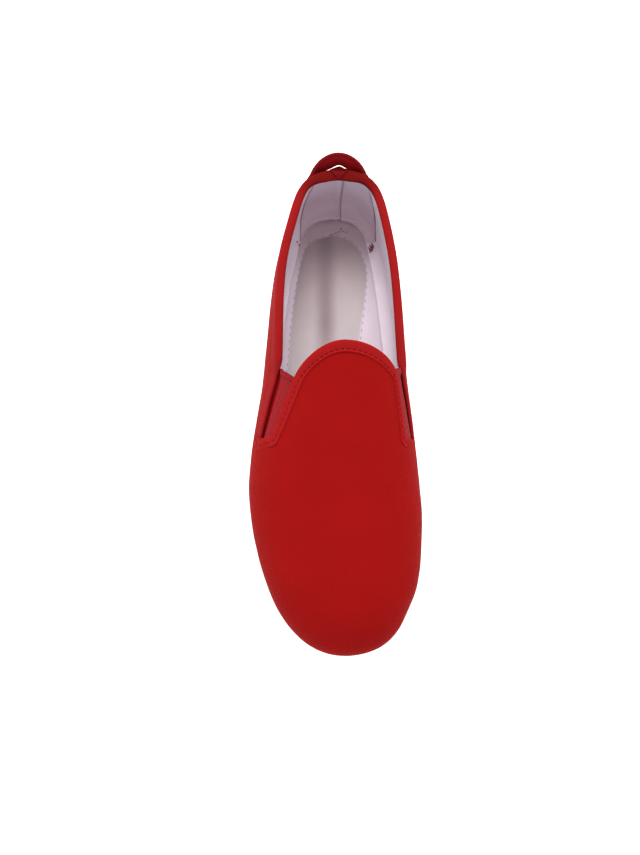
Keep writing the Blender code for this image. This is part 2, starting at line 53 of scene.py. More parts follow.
# Station is a share of the length from the heel. Lateral, medial and ridge_x are shares of half
# the ball's width. Crown is the dome's height and bulge the height of the widest line, in mm.
Section = namedtuple("Section", "station lateral medial ridge_x crown bulge")
SECTIONS = [
    Section(0.00, 0.005, 0.005, 0.005, 0.0, 16.0),
    Section(0.02, -0.350, 0.360, 0.005, 34.5, 16.0),
    Section(0.06, -0.525, 0.530, 0.010, 55.0, 16.0),
    Section(0.12, -0.620, 0.618, 0.015, 63.0, 16.0),
    Section(0.20, -0.722, 0.698, 0.020, 65.0, 16.0),
    Section(0.28, -0.780, 0.752, 0.025, 59.3, 16.0),
    Section(0.36, -0.816, 0.796, 0.040, 51.8, 16.0),
    Section(0.44, -0.855, 0.840, 0.060, 45.7, 16.0),
    Section(0.52, -0.920, 0.890, 0.070, 41.3, 15.8),
    Section(0.60, -0.982, 0.945, 0.072, 37.0, 15.7),
    Section(0.66, -1.000, 0.978, 0.072, 33.9, 15.5),
    Section(0.72, -0.972, 1.000, 0.075, 31.4, 14.9),
    Section(0.80, -0.882, 0.982, 0.080, 28.8, 13.9),
    Section(0.86, -0.776, 0.930, 0.085, 26.2, 13.0),
    Section(0.91, -0.648, 0.820, 0.092, 22.6, 11.8),
    Section(0.95, -0.487, 0.698, 0.098, 17.6, 10.9),
    Section(0.98, -0.290, 0.520, 0.101, 10.7, 10.1),
    Section(1.00, 0.101, 0.101, 0.101, 0.0, 9.6),
]


def clamp(value, low=0.0, high=1.0):
    return min(max(value, low), high)


def station_angle(station):
    """0 at the heel and 1 at the toe, spaced so that round ends have even steps."""
    return math.acos(1 - 2 * clamp(station)) / math.pi


def angle_station(angle):
    return (1 - math.cos(math.pi * angle)) / 2


def slope_at(knots, values, i):
    """A slope that never overshoots the table's own values."""
    if i in (0, len(knots) - 1):
        near, far = (0, 1) if i == 0 else (-1, -2)
        return (values[far] - values[near]) / (knots[far] - knots[near])
    before = (values[i] - values[i - 1]) / (knots[i] - knots[i - 1])
    after = (values[i + 1] - values[i]) / (knots[i + 1] - knots[i])
    if before * after <= 0:
        return 0.0
    return 2 * before * after / (before + after)


class Column:
    """One column of a table, read smoothly between its rows."""

    def __init__(self, table, name, scale):
        self.knots = [station_angle(row.station) for row in table]
        self.values = [getattr(row, name) * scale for row in table]
        count = len(self.knots)
        self.slopes = [slope_at(self.knots, self.values, i) for i in range(count)]

    def at(self, angle):
        angle = clamp(angle, self.knots[0], self.knots[-1])
        i = 0
        while i < len(self.knots) - 2 and angle > self.knots[i + 1]:
            i += 1
        width = self.knots[i + 1] - self.knots[i]
        t = (angle - self.knots[i]) / width
        low = self.values[i] * (1 + 2 * t) + self.slopes[i] * width * t
        high = self.values[i + 1] * (3 - 2 * t) - self.slopes[i + 1] * width * (1 - t)
        return low * (1 - t) ** 2 + high * t * t


EDGES = {side: Column(SECTIONS, side, HALF_BALL) for side in SIDES}
RIDGE_X = Column(SECTIONS, "ridge_x", HALF_BALL)
FEATHER_TUCK, HEEL_TUCK = 0.0030, 0.0065
SOLE_THICKNESS, TOE_THINNING = 0.011, 0.003
TOE_SPRING, SPRING_START, WAIST_HOLLOW = 0.008, 0.76, 0.0012


def smooth_step(low, high, value):
    t = clamp((value - low) / (high - low))
    return t * t * (3 - 2 * t)


def y_of(station):
    return HEEL_Y - SHOE_LENGTH * station


def station_of(y):
    return clamp((HEEL_Y - y) / SHOE_LENGTH)


def angle_at(y):
    return station_angle(station_of(y))


def ridge_at(y):
    return RIDGE_X.at(angle_at(y))


def feather_tuck(angle):
    """How far the wall's foot lies inside its widest line; the heel's tucks under the most."""
    heel = 1 - smooth_step(0.0, 0.14, angle_station(angle))
    return FEATHER_TUCK + (HEEL_TUCK - FEATHER_TUCK) * heel


def spring(station):
    """How far the toe end of the sole lifts off the floor."""
    return TOE_SPRING * max(0.0, (station - SPRING_START) / (1 - SPRING_START)) ** 2


def sole_bottom(y):
    station = station_of(y)
    waist = smooth_step(0.30, 0.40, station) * smooth_step(0.56, 0.48, station)
    return spring(station) + WAIST_HOLLOW * waist


def sole_top(y):
    station = station_of(y)
    return spring(station) + SOLE_THICKNESS - TOE_THINNING * smooth_step(0.2, 0.7, station)


def outline_point(side, angle):
    """The widest line of the upper, seen from above."""
    return Vector((EDGES[side].at(angle), y_of(angle_station(angle)), 0.0))


def spine_point(angle):
    """The point of the ridge that the wall at this angle climbs to."""
    y = y_of(angle_station(angle))
    heel_end, toe_end, end_slope = SHOE_LENGTH * 0.16, SHOE_LENGTH * 0.12, 0.3
    for distance, end, sign, tip in (
        (y_of(0) - y, heel_end, -1, y_of(0)),
        (y - y_of(1), toe_end, 1, y_of(1)),
    ):
        reach = 2 * end / (1 - end_slope)
        if distance < reach:
            curve = (1 - end_slope) / (2 * reach)
            y = tip + sign * (end + end_slope * distance + curve * distance**2)
    return Vector((ridge_at(y), y, 0.0))


def inside_foot(side, angle, inset):
    """A point inside the wall's foot, on the way to the ridge."""
    base, spine = outline_point(side, angle), spine_point(angle)
    return base + (spine - base).normalized() * (feather_tuck(angle) + inset)


MERGED = 0.00002


def lay(bm, columns, rows, place, keep=lambda column, row: True):
    """Lays a grid of columns by rows: place gives each crossing's point and its spot on the cloth."""
    cloth_map = bm.loops.layers.uv.get("cloth") or bm.loops.layers.uv.new("cloth")
    made = bmesh.ops.create_grid(bm, x_segments=columns, y_segments=rows, size=0.5)["verts"]
    spots, dropped = {}, []
    for face in {face for vert in made for face in vert.link_faces}:
        middle = face.calc_center_median()
        cell = int((middle.x + 0.5) * columns), int((middle.y + 0.5) * rows)
        if not keep(*cell):
            dropped.append(face)
    for vert in made:
        crossing = round((vert.co.x + 0.5) * columns), round((vert.co.y + 0.5) * rows)
        vert.co, spots[vert] = place(*crossing)
    for vert in made:
        for loop in vert.link_loops:
            loop[cloth_map].uv = spots[vert]
    bmesh.ops.delete(bm, geom=dropped, context="FACES")


def piece_from(bm, name, material, crease=40, turned=False):
    """Merges the mesh's doubles, turns its faces outwards unless they are, and makes it an object."""
    bmesh.ops.remove_doubles(bm, verts=bm.verts, dist=MERGED)
    if not turned:
        bmesh.ops.recalc_face_normals(bm, faces=bm.faces)
    mesh = bpy.data.meshes.new(name)
    bm.to_mesh(mesh)
    bm.free()
    mesh.materials.append(material)
    mesh.shade_smooth()
    mesh.set_sharp_from_angle(angle=math.radians(crease))
    piece = bpy.data.objects.new(name, mesh)
    bpy.context.scene.collection.objects.link(piece)
    return piece


class Value:
    """A socket of a material, on which plain arithmetic adds Math nodes."""

    def __init__(self, finish, socket):
        self.finish = finish
        self.socket = socket

    def math(self, operation, first, second=0.0, third=0.0):
        sockets = {0: first, 1: second, 2: third}
        return self.finish.node("ShaderNodeMath", {"operation": operation}, sockets)

    def __add__(self, other):
        return self.math("ADD", self, other)

    def __radd__(self, other):
        return self.math("ADD", other, self)

    def __sub__(self, other):
        return self.math("SUBTRACT", self, other)

    def __rsub__(self, other):
        return self.math("SUBTRACT", other, self)

    def __mul__(self, other):
        return self.math("MULTIPLY", self, other)

    def __rmul__(self, other):
        return self.math("MULTIPLY", other, self)

    def sine(self):
        return self.math("SINE", self)

    def size(self):
        return self.math("ABSOLUTE", self)

    def clipped(self, low, high):
        """0 up to low, 1 from high on, and a soft slope between."""
        sockets = {"Value": self, "From Min": low, "From Max": high}
        return self.finish.node("ShaderNodeMapRange", {"interpolation_type": "SMOOTHSTEP"}, sockets)


class Finish:
    """A material with its main shader, and one way to add any other node."""

    def __init__(self, name, roughness, specular=0.3):
        self.material = bpy.data.materials.new(name)
        self.material.use_nodes = True
        self.tree = self.material.node_tree
        self.shader = self.tree.nodes["Principled BSDF"]
        self.set("Roughness", roughness)
        self.set("Specular IOR Level", specular)

    def feed(self, socket, value):
        if isinstance(value, Value):
            self.tree.links.new(value.socket, socket)
        else:
            socket.default_value = value

    def set(self, name, value):
        self.feed(self.shader.inputs[name], value)

    def node(self, kind, settings, sockets, output=0):
        made = self.tree.nodes.new(kind)
        for name, value in settings.items():
            setattr(made, name, value)
        for name, value in sockets.items():
            self.feed(made.inputs[name], value)
        return Value(self, made.outputs[output])

    def place(self):
        """Where the surface is, in metres."""
        return self.node("ShaderNodeTexCoord", {}, {}, "Object")

    def cloth(self):
        """Where the surface is on the flat cloth, in metres across and along."""
        return self.node("ShaderNodeUVMap", {"uv_map": "cloth"}, {})

    def parts(self, vector, *axes):
        """Chosen numbers of a vector, of which x is 0, y is 1 and z is 2."""
        return [self.node("ShaderNodeSeparateXYZ", {}, {0: vector}, axis) for axis in axes]

    def noise(self, where, scale, detail=2.0):
        sockets = {"Vector": where, "Scale": scale, "Detail": detail}
        return self.node("ShaderNodeTexNoise", {}, sockets)

    def blend(self, factor, low, high):
        return self.node("ShaderNodeMix", {"data_type": "RGBA"}, {0: factor, 6: low, 7: high}, 2)

    def times(self, first, second):
        settings = {"data_type": "RGBA", "blend_type": "MULTIPLY"}
        return self.node("ShaderNodeMix", settings, {0: 1.0, 6: first, 7: second}, 2)

    def tint(self, colour, amount, value):
        """The colour made lighter or darker by the amount as value goes over 0 to 1."""
        dark, light = [rgb(*(c * share for c in colour[:3])) for share in (1 - amount, 1 + amount)]
        return self.blend(value, dark, light)

    def relief(self, height, depth):
        self.set("Normal", self.node("ShaderNodeBump", {}, {"Height": height, "Distance": depth}))


def rgb(red, green, blue):
    return (red, green, blue, 1.0)


WHITE = rgb(1.0, 1.0, 1.0)
RUBBER_CREAM = rgb(0.49, 0.445, 0.365)
SOLE_COLUMNS = 220
GROOVED_STATIONS = ((0.06, 0.30), (0.57, 0.76))
GROOVE_PITCH, GROOVE_WIDTH, GROOVE_DEPTH, TREAD_BORDER = 0.008, 0.0022, 0.0010, 0.009
GROOVE_ROUNDING = 0.0008


def rubber_finish():
    rubber = Finish("pale_rubber", roughness=0.5, specular=0.45)
    where = rubber.place()
    cloudy = rubber.noise(where, 60.0, 4.0)
    scuffs = rubber.noise(where, 900.0, 3.0)
    rubber.set("Base Color", rubber.tint(RUBBER_CREAM, 0.07, cloudy))
    rubber.set("Roughness", cloudy * 0.2 + 0.42)
    rubber.relief(scuffs, 0.00006)
    return rubber.material


RUBBER = rubber_finish()

# Rings from the middle of the underside out, up the side and back in over the top. Inward is a
# share of the way from the wall's foot to the ridge, inset lies on from there, and the height is
# over the bottom or under the top.
SoleRing = namedtuple("SoleRing", "inward inset over_bottom under_top")
SOLE_RINGS = [
    SoleRing(1.00, 0.0000, 0.0000, None),
    SoleRing(0.75, 0.0000, 0.0000, None),
    SoleRing(0.50, 0.0000, 0.0000, None),
    SoleRing(0.25, 0.0000, 0.0000, None),
    SoleRing(0.00, 0.0006, 0.0000, None),
    SoleRing(0.00, 0.0001, 0.0002, None),
    SoleRing(0.00, -0.0002, 0.0007, None),
    SoleRing(0.00, -0.0003, 0.0013, None),
    SoleRing(0.00, -0.0003, None, 0.0037),
    SoleRing(0.00, -0.0005, None, 0.0034),
    SoleRing(0.00, -0.0009, None, 0.0031),
    SoleRing(0.00, -0.0010, None, 0.0028),
    SoleRing(0.00, -0.0010, None, 0.0006),
    SoleRing(0.00, -0.0008, None, 0.0002),
    SoleRing(0.00, -0.0003, None, 0.0000),
    SoleRing(0.20, 0.0000, None, 0.0001),
    SoleRing(1.00, 0.0000, None, 0.0001),
]


def sole_half(side):
    def place(column, row):
        angle = column / SOLE_COLUMNS
        ring = SOLE_RINGS[row]
        foot = inside_foot(side, angle, ring.inset)
        point = foot.lerp(spine_point(angle), ring.inward)
        low, high = sole_bottom(point.y), sole_top(point.y)
        point.z = low + ring.over_bottom if ring.under_top is None else high - ring.under_top
        return point, (point.x, point.y)

    return place


def groove_cutters():
    """Bars as long as each groove, with rounded long edges."""
    bm = bmesh.new()
    for low, high in GROOVED_STATIONS:
        count = int((high - low) * SHOE_LENGTH / GROOVE_PITCH)
        for i in range(count + 1):
            station = (low + high) / 2 + (i - count / 2) * GROOVE_PITCH / SHOE_LENGTH
            angle = station_angle(station)
            left = EDGES[LATERAL].at(angle) + TREAD_BORDER
            right = EDGES[MEDIAL].at(angle) - TREAD_BORDER
            bar = bmesh.ops.create_cube(bm, size=1.0)["verts"]
            bmesh.ops.scale(bm, verts=bar, vec=(right - left, GROOVE_WIDTH, 2 * GROOVE_DEPTH))
            bmesh.ops.translate(bm, verts=bar, vec=((left + right) / 2, y_of(station), 0.0))
    sides = [edge for edge in bm.edges if abs(edge.verts[0].co.z - edge.verts[1].co.z) > 1e-6]
    bmesh.ops.bevel(
        bm,
        geom=sides,
        offset=GROOVE_ROUNDING,
        offset_type="OFFSET",
        affect="EDGES",
        segments=4,
        profile=0.5,
        material=-1,
    )
    return piece_from(bm, "groove_cutters", RUBBER)


def make_outsole():
    bm = bmesh.new()
    for side in SIDES:
        lay(bm, SOLE_COLUMNS, len(SOLE_RINGS) - 1, sole_half(side))
    sole = piece_from(bm, "rubber_sole", RUBBER)
    grooves = groove_cutters()
    tread = sole.modifiers.new("Tread", "BOOLEAN")
    tread.operation = "DIFFERENCE"
    tread.object = grooves
    cut = bpy.data.meshes.new_from_object(sole.evaluated_get(bpy.context.evaluated_depsgraph_get()))
    sole.modifiers.remove(tread)
    sole.data = cut
    bpy.data.objects.remove(grooves, do_unlink=True)
    return sole


sole = make_outsole()
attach(sole, "root")
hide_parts("outsole")


# Insole. The real one is a board faced with beige cotton, lying in the bottom of the shoe. Its
# edge is bound by the turned-in allowance of the white lining, held by one row of stitches.
WALL, GAP = 0.0018, 0.0003
INSOLE_COLUMNS, INSOLE_ROWS = 160, 30
INSOLE_THICKNESS = 0.0025
SIDE_ALLOWANCE, HEEL_ALLOWANCE, ARCH_ALLOWANCE = 0.0072, 0.0125, 0.0187
HEEL_TURN = {LATERAL: 0.20, MEDIAL: 0.26}
EDGE_DISH, STITCH_DIP, EDGE_ROUNDING, HEEL_PUCKER = 0.0006, 0.0003, 0.0008, 0.0005


def swell(distance, width):
    """1 at no distance, fading softly to 0 at about twice the width."""
    return math.exp(-((distance / width) ** 2))


def allowance(side, angle):
    """How far inside the insole's edge the row of stitches runs: further at the heel and the arch."""
    width = HEEL_ALLOWANCE + (SIDE_ALLOWANCE - HEEL_ALLOWANCE) * smooth_step(0.04, HEEL_TURN[side], angle)
    if side == MEDIAL:
        arch = smooth_step(0.22, 0.46, angle) * smooth_step(0.92, 0.60, angle)
        width += (ARCH_ALLOWANCE - SIDE_ALLOWANCE) * arch
    return width


def insole_spot(side, angle, share):
    """A point on the insole's face: share is 0 at its edge and 1 on the ridge's line."""
    edge = inside_foot(side, angle, WALL + GAP)
    spine = spine_point(angle)
    point = edge.lerp(spine, share)
    inward = (point - edge).length
    row = allowance(side, angle)
    dish = EDGE_DISH * (1 - smooth_step(0.0, 0.022, inward))
    stitched = STITCH_DIP * swell(inward - row, 0.0008)
    rounded = EDGE_ROUNDING * (1 - min(inward / EDGE_ROUNDING, 1.0)) ** 2
    turned_in = smooth_step(0.0, 0.003, inward) * smooth_step(1.0, 0.7, inward / row)
    at_heel = 1 - smooth_step(0.10, 0.30, angle)
    creased = noise.noise(Vector((point.x * 330.0, point.y * 130.0, 2.0)))
    pucker = HEEL_PUCKER * turned_in * at_heel * creased
    point.z = sole_top(point.y) + GAP + INSOLE_THICKNESS + dish - stitched - rounded + pucker
    return point, inward


def insole_half(side):
    def place(column, row):
        angle = column / INSOLE_COLUMNS
        if row == 0:
            point = inside_foot(side, angle, WALL + GAP)
            point.z = sole_top(point.y) + GAP
            return point, (0.0, point.y)
        share = ((row - 1) / (INSOLE_ROWS - 1)) ** 1.6
        point, inward = insole_spot(side, angle, share)
        return point, (inward / allowance(side, angle), point.y)

    return place


STREAK_X, STREAK_HALF = -0.0042, 0.0080
BEIGE, HEEL_SHADE_BEIGE = rgb(0.50, 0.445, 0.45), rgb(0.36, 0.285, 0.30)
SHADOW_STREAK_GREY = rgb(0.265, 0.205, 0.22)
EDGE_COTTON, HEEL_SHADE_EDGE_COTTON = rgb(0.64, 0.55, 0.62), rgb(0.46, 0.35, 0.40)


def insole_finish():
    """Beige inside the stitches and white outside them, both darker towards the heel as painted shade,
    the beige also towards the outer side, with a grey streak of painted shadow along its middle."""
    cotton = Finish("insole_cotton", roughness=0.9, specular=0.1)
    where = cotton.place()
    inward = cotton.parts(cotton.cloth(), 0)[0]
    across, length = cotton.parts(where, 0, 1)
    threads = (across * 7000.0).sine() * (length * 7000.0).sine()
    mottled = cotton.noise(where, 120.0, 4.0)
    inside = inward.clipped(0.91, 1.05)
    # Painted shade: the beige is darker towards the heel and the outer side.
    towards_heel = (length - across * 0.5).clipped(0.030, 0.100)
    heel_shaded = cotton.blend(towards_heel, BEIGE, HEEL_SHADE_BEIGE)
    # Painted shadow: a soft grey streak along the middle, fading out towards the toe.
    streak = (across - STREAK_X).size().clipped(0.0, STREAK_HALF)
    streak = 1.0 - (1.0 - streak) * length.clipped(0.012, 0.055)
    beige = cotton.blend(streak, SHADOW_STREAK_GREY, heel_shaded)
    # Painted shade: the white allowance is darker towards the heel.
    white = cotton.blend(length.clipped(0.075, 0.105), EDGE_COTTON, HEEL_SHADE_EDGE_COTTON)
    plain = cotton.blend(inside, white, beige)
    cotton.set("Base Color", cotton.times(plain, cotton.tint(WHITE, 0.06, mottled)))
    cotton.set("Roughness", mottled * 0.1 + 0.84)
    cotton.relief(threads * 0.5 + mottled, 0.00008)
    return cotton.material


def make_insole():
    bm = bmesh.new()
    for side in SIDES:
        lay(bm, INSOLE_COLUMNS, INSOLE_ROWS, insole_half(side))
    return piece_from(bm, "sock_insole", insole_finish())


insole = make_insole()
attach(insole, "root")
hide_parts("insole")


# Lining. White cotton sewn to the canvas round the collar and turned in over the insole's edge, with
# the heel's own piece sewn on over its sides. Painted shade makes the lining darker towards its foot
# and the heel's piece greyer, and the cotton's pinkish tint is painted red bounce light from the
# canvas. The last's domed surface, the top line and the throat's edge, which shape the lining and the
# canvas over it, start here.
FULLNESS = {LATERAL: 2.0, MEDIAL: 2.4}
CROWN = Column(SECTIONS, "crown", 0.001)
BULGE = Column(SECTIONS, "bulge", 0.001)

TopLine = namedtuple("TopLine", "station height_mm")
TOP_LINE = [
    TopLine(0.000, 50.0),
    TopLine(0.080, 48.2),
    TopLine(0.200, 45.0),
    TopLine(0.320, 43.5),
    TopLine(0.400, 42.5),
    TopLine(0.440, 41.5),
    TopLine(0.500, 36.2),
    TopLine(0.571, 30.5),
    TopLine(0.620, 27.0),
]
TOP_HEIGHT = Column(TOP_LINE, "height_mm", 0.001)

# The throat's edge each side of the ridge: the half width of its round part, how far ahead that
# part ends, and how much the edge widens from there along the gore.
ThroatSide = namedtuple("ThroatSide", "half_width round_depth flare")
THROAT = {
    LATERAL: ThroatSide(0.0185, 0.0160, 0.42),
    MEDIAL: ThroatSide(0.0248, 0.0135, 0.13),
}
THROAT_STATION, GORE_LENGTH = 0.408, 0.0417
THROAT_Y = y_of(THROAT_STATION)
GORE_END_Y = THROAT_Y - GORE_LENGTH
GORE_ANGLE = angle_at(GORE_END_Y)


def widest_height(y):
    """Height of the canvas on its widest line."""
    return sole_top(y) + BULGE.at(angle_at(y))


def crown_surface(x, y):
    """Height of the canvas over a point inside its outline."""
    angle = angle_at(y)
    ridge = RIDGE_X.at(angle)
    side = LATERAL if x < ridge else MEDIAL
    half = abs(EDGES[side].at(angle) - ridge)
    share = min(abs(x - ridge) / half, 1.0) if half > 1e-6 else 0.0
    dome = (1 - share ** FULLNESS[side]) ** (1 / FULLNESS[side])
    return sole_top(y) + BULGE.at(angle) + CROWN.at(angle) * dome


def surface_normal(point):
    step = 0.00005
    x, y = point.x, point.y
    slope_x = (crown_surface(x + step, y) - crown_surface(x - step, y)) / (2 * step)
    slope_y = (crown_surface(x, y + step) - crown_surface(x, y - step)) / (2 * step)
    return Vector((-slope_x, -slope_y, 1.0)).normalized()


def settled(point):
    """The point moved along the normal until it lies on the canvas."""
    for _ in range(4):
        normal = surface_normal(point)
        point = point - normal * (point.z - crown_surface(point.x, point.y)) * normal.z
    return point


def climb_point(side, angle, climb):
    """A point on the canvas: climb is 0 on the widest line and 1 on the ridge."""
    share = math.cos(climb * math.pi / 2)
    base, spine = outline_point(side, angle), spine_point(angle)
    at = spine + (base - spine) * share
    if share > 1 - 1e-9:
        at.z = widest_height(at.y)
    else:
        at.z = crown_surface(at.x, at.y)
    return at


def wall_point(side, angle, share):
    """A point on the wall below the widest line: share is 0 at the sole and 1 on that line."""
    base, spine = outline_point(side, angle), spine_point(angle)
    at = base + (spine - base).normalized() * feather_tuck(angle) * (1 - share) ** 2
    foot = sole_top(at.y) + GAP
    at.z = foot + (widest_height(base.y) - foot) * share
    return at


def bisect(below, low=0.0, high=1.0):
    """The value between low and high where below(value) turns from True to False."""
    for _ in range(36):
        middle = (low + high) / 2
        if below(middle):
            low = middle
        else:
            high = middle
    return (low + high) / 2


def vamp_half_width(side, depth):
    """How far the vamp's lobe reaches from the ridge, at a distance ahead of its throat."""
    if depth <= 0:
        return 0.0
    throat = THROAT[side]
    round_part = 1 - (1 - min(depth / throat.round_depth, 1.0)) ** 2
    return throat.half_width * math.sqrt(round_part) + throat.flare * depth


def vamp_climb(side, angle):
    def outside_lobe(climb):
        at = climb_point(side, angle, climb)
        return abs(at.x - ridge_at(at.y)) > vamp_half_width(side, THROAT_Y - at.y)

    return bisect(outside_lobe)


def quarter_climb(side, angle):
    def under_top_line(climb):
        at = climb_point(side, angle, climb)
        return at.z < sole_top(at.y) + TOP_HEIGHT.at(angle_at(at.y))

    return bisect(under_top_line)


def angle_through(x, y):
    """The lateral side's column that passes over a point inside the outline."""

    def short_of(angle):
        spine = spine_point(angle)
        run = outline_point(LATERAL, angle) - spine
        return run.x * (y - spine.y) - run.y * (x - spine.x) >= 0

    return bisect(short_of)


def between(low, high, count):
    """Count even steps from low up to, and without, high."""
    return [low + (high - low) * i / count for i in range(count)]


def arch_angles(count):
    """Columns through evenly spaced points of the throat's round edge."""
    angles = []
    for i in range(count):
        depth = THROAT[LATERAL].round_depth * (1 - math.cos(math.pi / 2 * (i + 1) / count))
        y = THROAT_Y - depth
        angles.append(angle_through(ridge_at(y) - vamp_half_width(LATERAL, depth), y))
    return angles


THROAT_ANGLE = bisect(lambda angle: spine_point(angle).y > THROAT_Y)
ARCH_ANGLES = arch_angles(20)
HEEL_PART = between(0.0, 0.005, 2) + between(0.005, 0.030, 22) + between(0.030, 0.260, 66)
HEEL_COLUMNS = len(HEEL_PART)
HEEL_PART += between(0.260, THROAT_ANGLE, 40)
THROAT_PART = [THROAT_ANGLE] + ARCH_ANGLES[:-1] + between(ARCH_ANGLES[-1], GORE_ANGLE, 20)
TOE_PART = between(GORE_ANGLE, 1.0, 78) + [1.0]
ANGLES = HEEL_PART + THROAT_PART + TOE_PART
FIRST_THROAT, FIRST_TOE = len(HEEL_PART), len(HEEL_PART) + len(THROAT_PART)
WALL_ROWS, QUARTER_ROWS, BRIDGE_ROWS, VAMP_ROWS = 16, 22, 5, 24
QUARTER_TOP = WALL_ROWS + QUARTER_ROWS
VAMP_FOOT = QUARTER_TOP + BRIDGE_ROWS
SHELL_ROWS = VAMP_FOOT + VAMP_ROWS


def climbs_along(climb_of, side, toe_climb):
    """The climb of an edge on any column, led on smoothly from the gore's end to the toe."""
    end = climb_of(side, GORE_ANGLE)

    def climb_at(angle):
        if angle <= GORE_ANGLE:
            return climb_of(side, angle)
        return end + (toe_climb - end) * smooth_step(GORE_ANGLE, 1.0, angle)

    return climb_at


QUARTER = {side: climbs_along(quarter_climb, side, 0.40) for side in SIDES}
VAMP = {side: climbs_along(vamp_climb, side, 0.55) for side in SIDES}


def shell_column(side, angle):
    """The points of one column: up the wall and the quarter, over the slot, and up the vamp."""
    quarter, vamp = QUARTER[side](angle), VAMP[side](angle)
    steps = [quarter * i / QUARTER_ROWS for i in range(QUARTER_ROWS)]
    steps += [quarter + (vamp - quarter) * i / BRIDGE_ROWS for i in range(BRIDGE_ROWS)]
    steps += [vamp + (1 - vamp) * i / VAMP_ROWS for i in range(VAMP_ROWS + 1)]
    wall = [wall_point(side, angle, i / WALL_ROWS) for i in range(WALL_ROWS)]
    return wall + [climb_point(side, angle, climb) for climb in steps]


def shell_half(side):
    """Every point of one side, and where it lies on the flat cloth that was pulled over the last:
    across from the ridge, and along from the heel."""
    lines = [shell_column(side, angle) for angle in ANGLES]
    waist = next(i for i, angle in enumerate(ANGLES) if angle_station(angle) > 0.5)
    heights = []
    for line in lines:
        climbed = [0.0]
        for low, high in zip(line, line[1:]):
            climbed.append(climbed[-1] + (high - low).length)
        heights.append(climbed)
    outward = -1 if side == LATERAL else 1
    cloth, guide = [], 0.0
    for i, angle in enumerate(ANGLES):
        guide_row = WALL_ROWS if i <= waist else SHELL_ROWS
        if i:
            guide += (lines[i][guide_row] - lines[i - 1][guide_row]).length
        base, spine = outline_point(side, angle), spine_point(angle)
        forward = max(-(base - spine).normalized().y, 0.0) if i > waist else 0.0
        sideways = math.sqrt(1 - forward**2)
        whole = heights[max(i, waist)][-1]
        down = [whole - height for height in heights[i]]
        cloth.append([(outward * sideways * r, guide + forward * r) for r in down])
    return lines, cloth


SHELL = {side: shell_half(side) for side in SIDES}


def face_outwards(bm):
    """Turns the faces so that the one furthest back, behind the heel, looks back."""
    bmesh.ops.recalc_face_normals(bm, faces=bm.faces)
    back = max(bm.faces, key=lambda face: face.calc_center_median().y)
    if back.normal.y < 0:
        bmesh.ops.reverse_faces(bm, faces=bm.faces)


def in_shell(column, row):
    """False over the open collar and in the gore's slot."""
    if column < FIRST_THROAT:
        return row < QUARTER_TOP
    if column < FIRST_TOE:
        return not QUARTER_TOP <= row < VAMP_FOOT
    return True


def make_shell(depth, keep=in_shell):
    """Both halves of the upper, joined at the ridge, the heel and the toe, and pulled inwards."""
    bm = bmesh.new()
    for side in SIDES:
        lines, cloth = SHELL[side]
        lay(
            bm,
            len(ANGLES) - 1,
            SHELL_ROWS,
            lambda column, row: (lines[column][row].copy(), cloth[column][row]),
            keep,
        )
    bmesh.ops.remove_doubles(bm, verts=bm.verts, dist=MERGED)
    face_outwards(bm)
    bm.normal_update()
    moves = [(vert, vert.normal.copy()) for vert in bm.verts]
    for vert, normal in moves:
        vert.co -= normal * depth(vert.co)
    return bm


LINING, HEEL_LINING, LINING_DEPTH = 0.0006, 0.0004, 0.0018
FOOT_ROUNDING, TOE_SHARPER, HEEL_SHARPER = 0.0050, 0.0022, 0.0018


def lining_depth(point):
    """How far the lining's white face lies inside the canvas: it rounds into the insole, and least
    at the toe and on both sides of the heel."""
    heel = smooth_step(0.085, 0.105, point.y)
    floor = sole_top(point.y) + GAP + INSOLE_THICKNESS + 0.0005 * (1 - heel)
    toe = smooth_step(0.45, 0.75, station_of(point.y))
    beside = heel * smooth_step(0.006, 0.016, abs(point.x))
    radius = FOOT_ROUNDING - TOE_SHARPER * toe - HEEL_SHARPER * beside
    under = clamp((floor + radius - point.z) / radius)
    fillet = radius * (1 - math.sqrt(1 - under**2))
    soft = 0.00022 * noise.noise(point * 70.0) + 0.00010 * noise.noise(point * 190.0)
    return LINING_DEPTH + fillet + soft


# The heel's own piece is sewn down along one slanted edge on the lateral side and two on the medial
# one, and has a seam a little to the medial side of its middle. An edge passes through a point and
# leans as it climbs.
SewnEdge = namedtuple("SewnEdge", "outward x z lean")
HEEL_EDGES = [
    SewnEdge(-1, -0.0174, 0.0205, 0.191),
    SewnEdge(1, 0.0208, 0.0331, -0.237),
    SewnEdge(1, 0.0224, 0.0230, -0.120),
]
HEEL_PIECE_SUNK, HEEL_PIECE_FRONT, BACK_SEAM_X = 0.0005, 0.0975, 0.0039
SEAM_SHADE = rgb(0.62, 0.54, 0.62)


def heel_piece_depth(point):
    """The heel's own piece lies on the lining's sides, and is puffed and creased beside its seam."""
    across = point.x - BACK_SEAM_X
    seam = 0.0006 * swell(across, 0.0004)
    puffed = 0.0004 * swell(across + 0.0020, 0.0012) + 0.0002 * swell(across - 0.0011, 0.0008)
    creased = 0.00022 * math.sin(point.z * 3600.0) * swell(across + 0.0024, 0.0008)
    return lining_depth(point) + HEEL_PIECE_SUNK - seam + puffed + creased


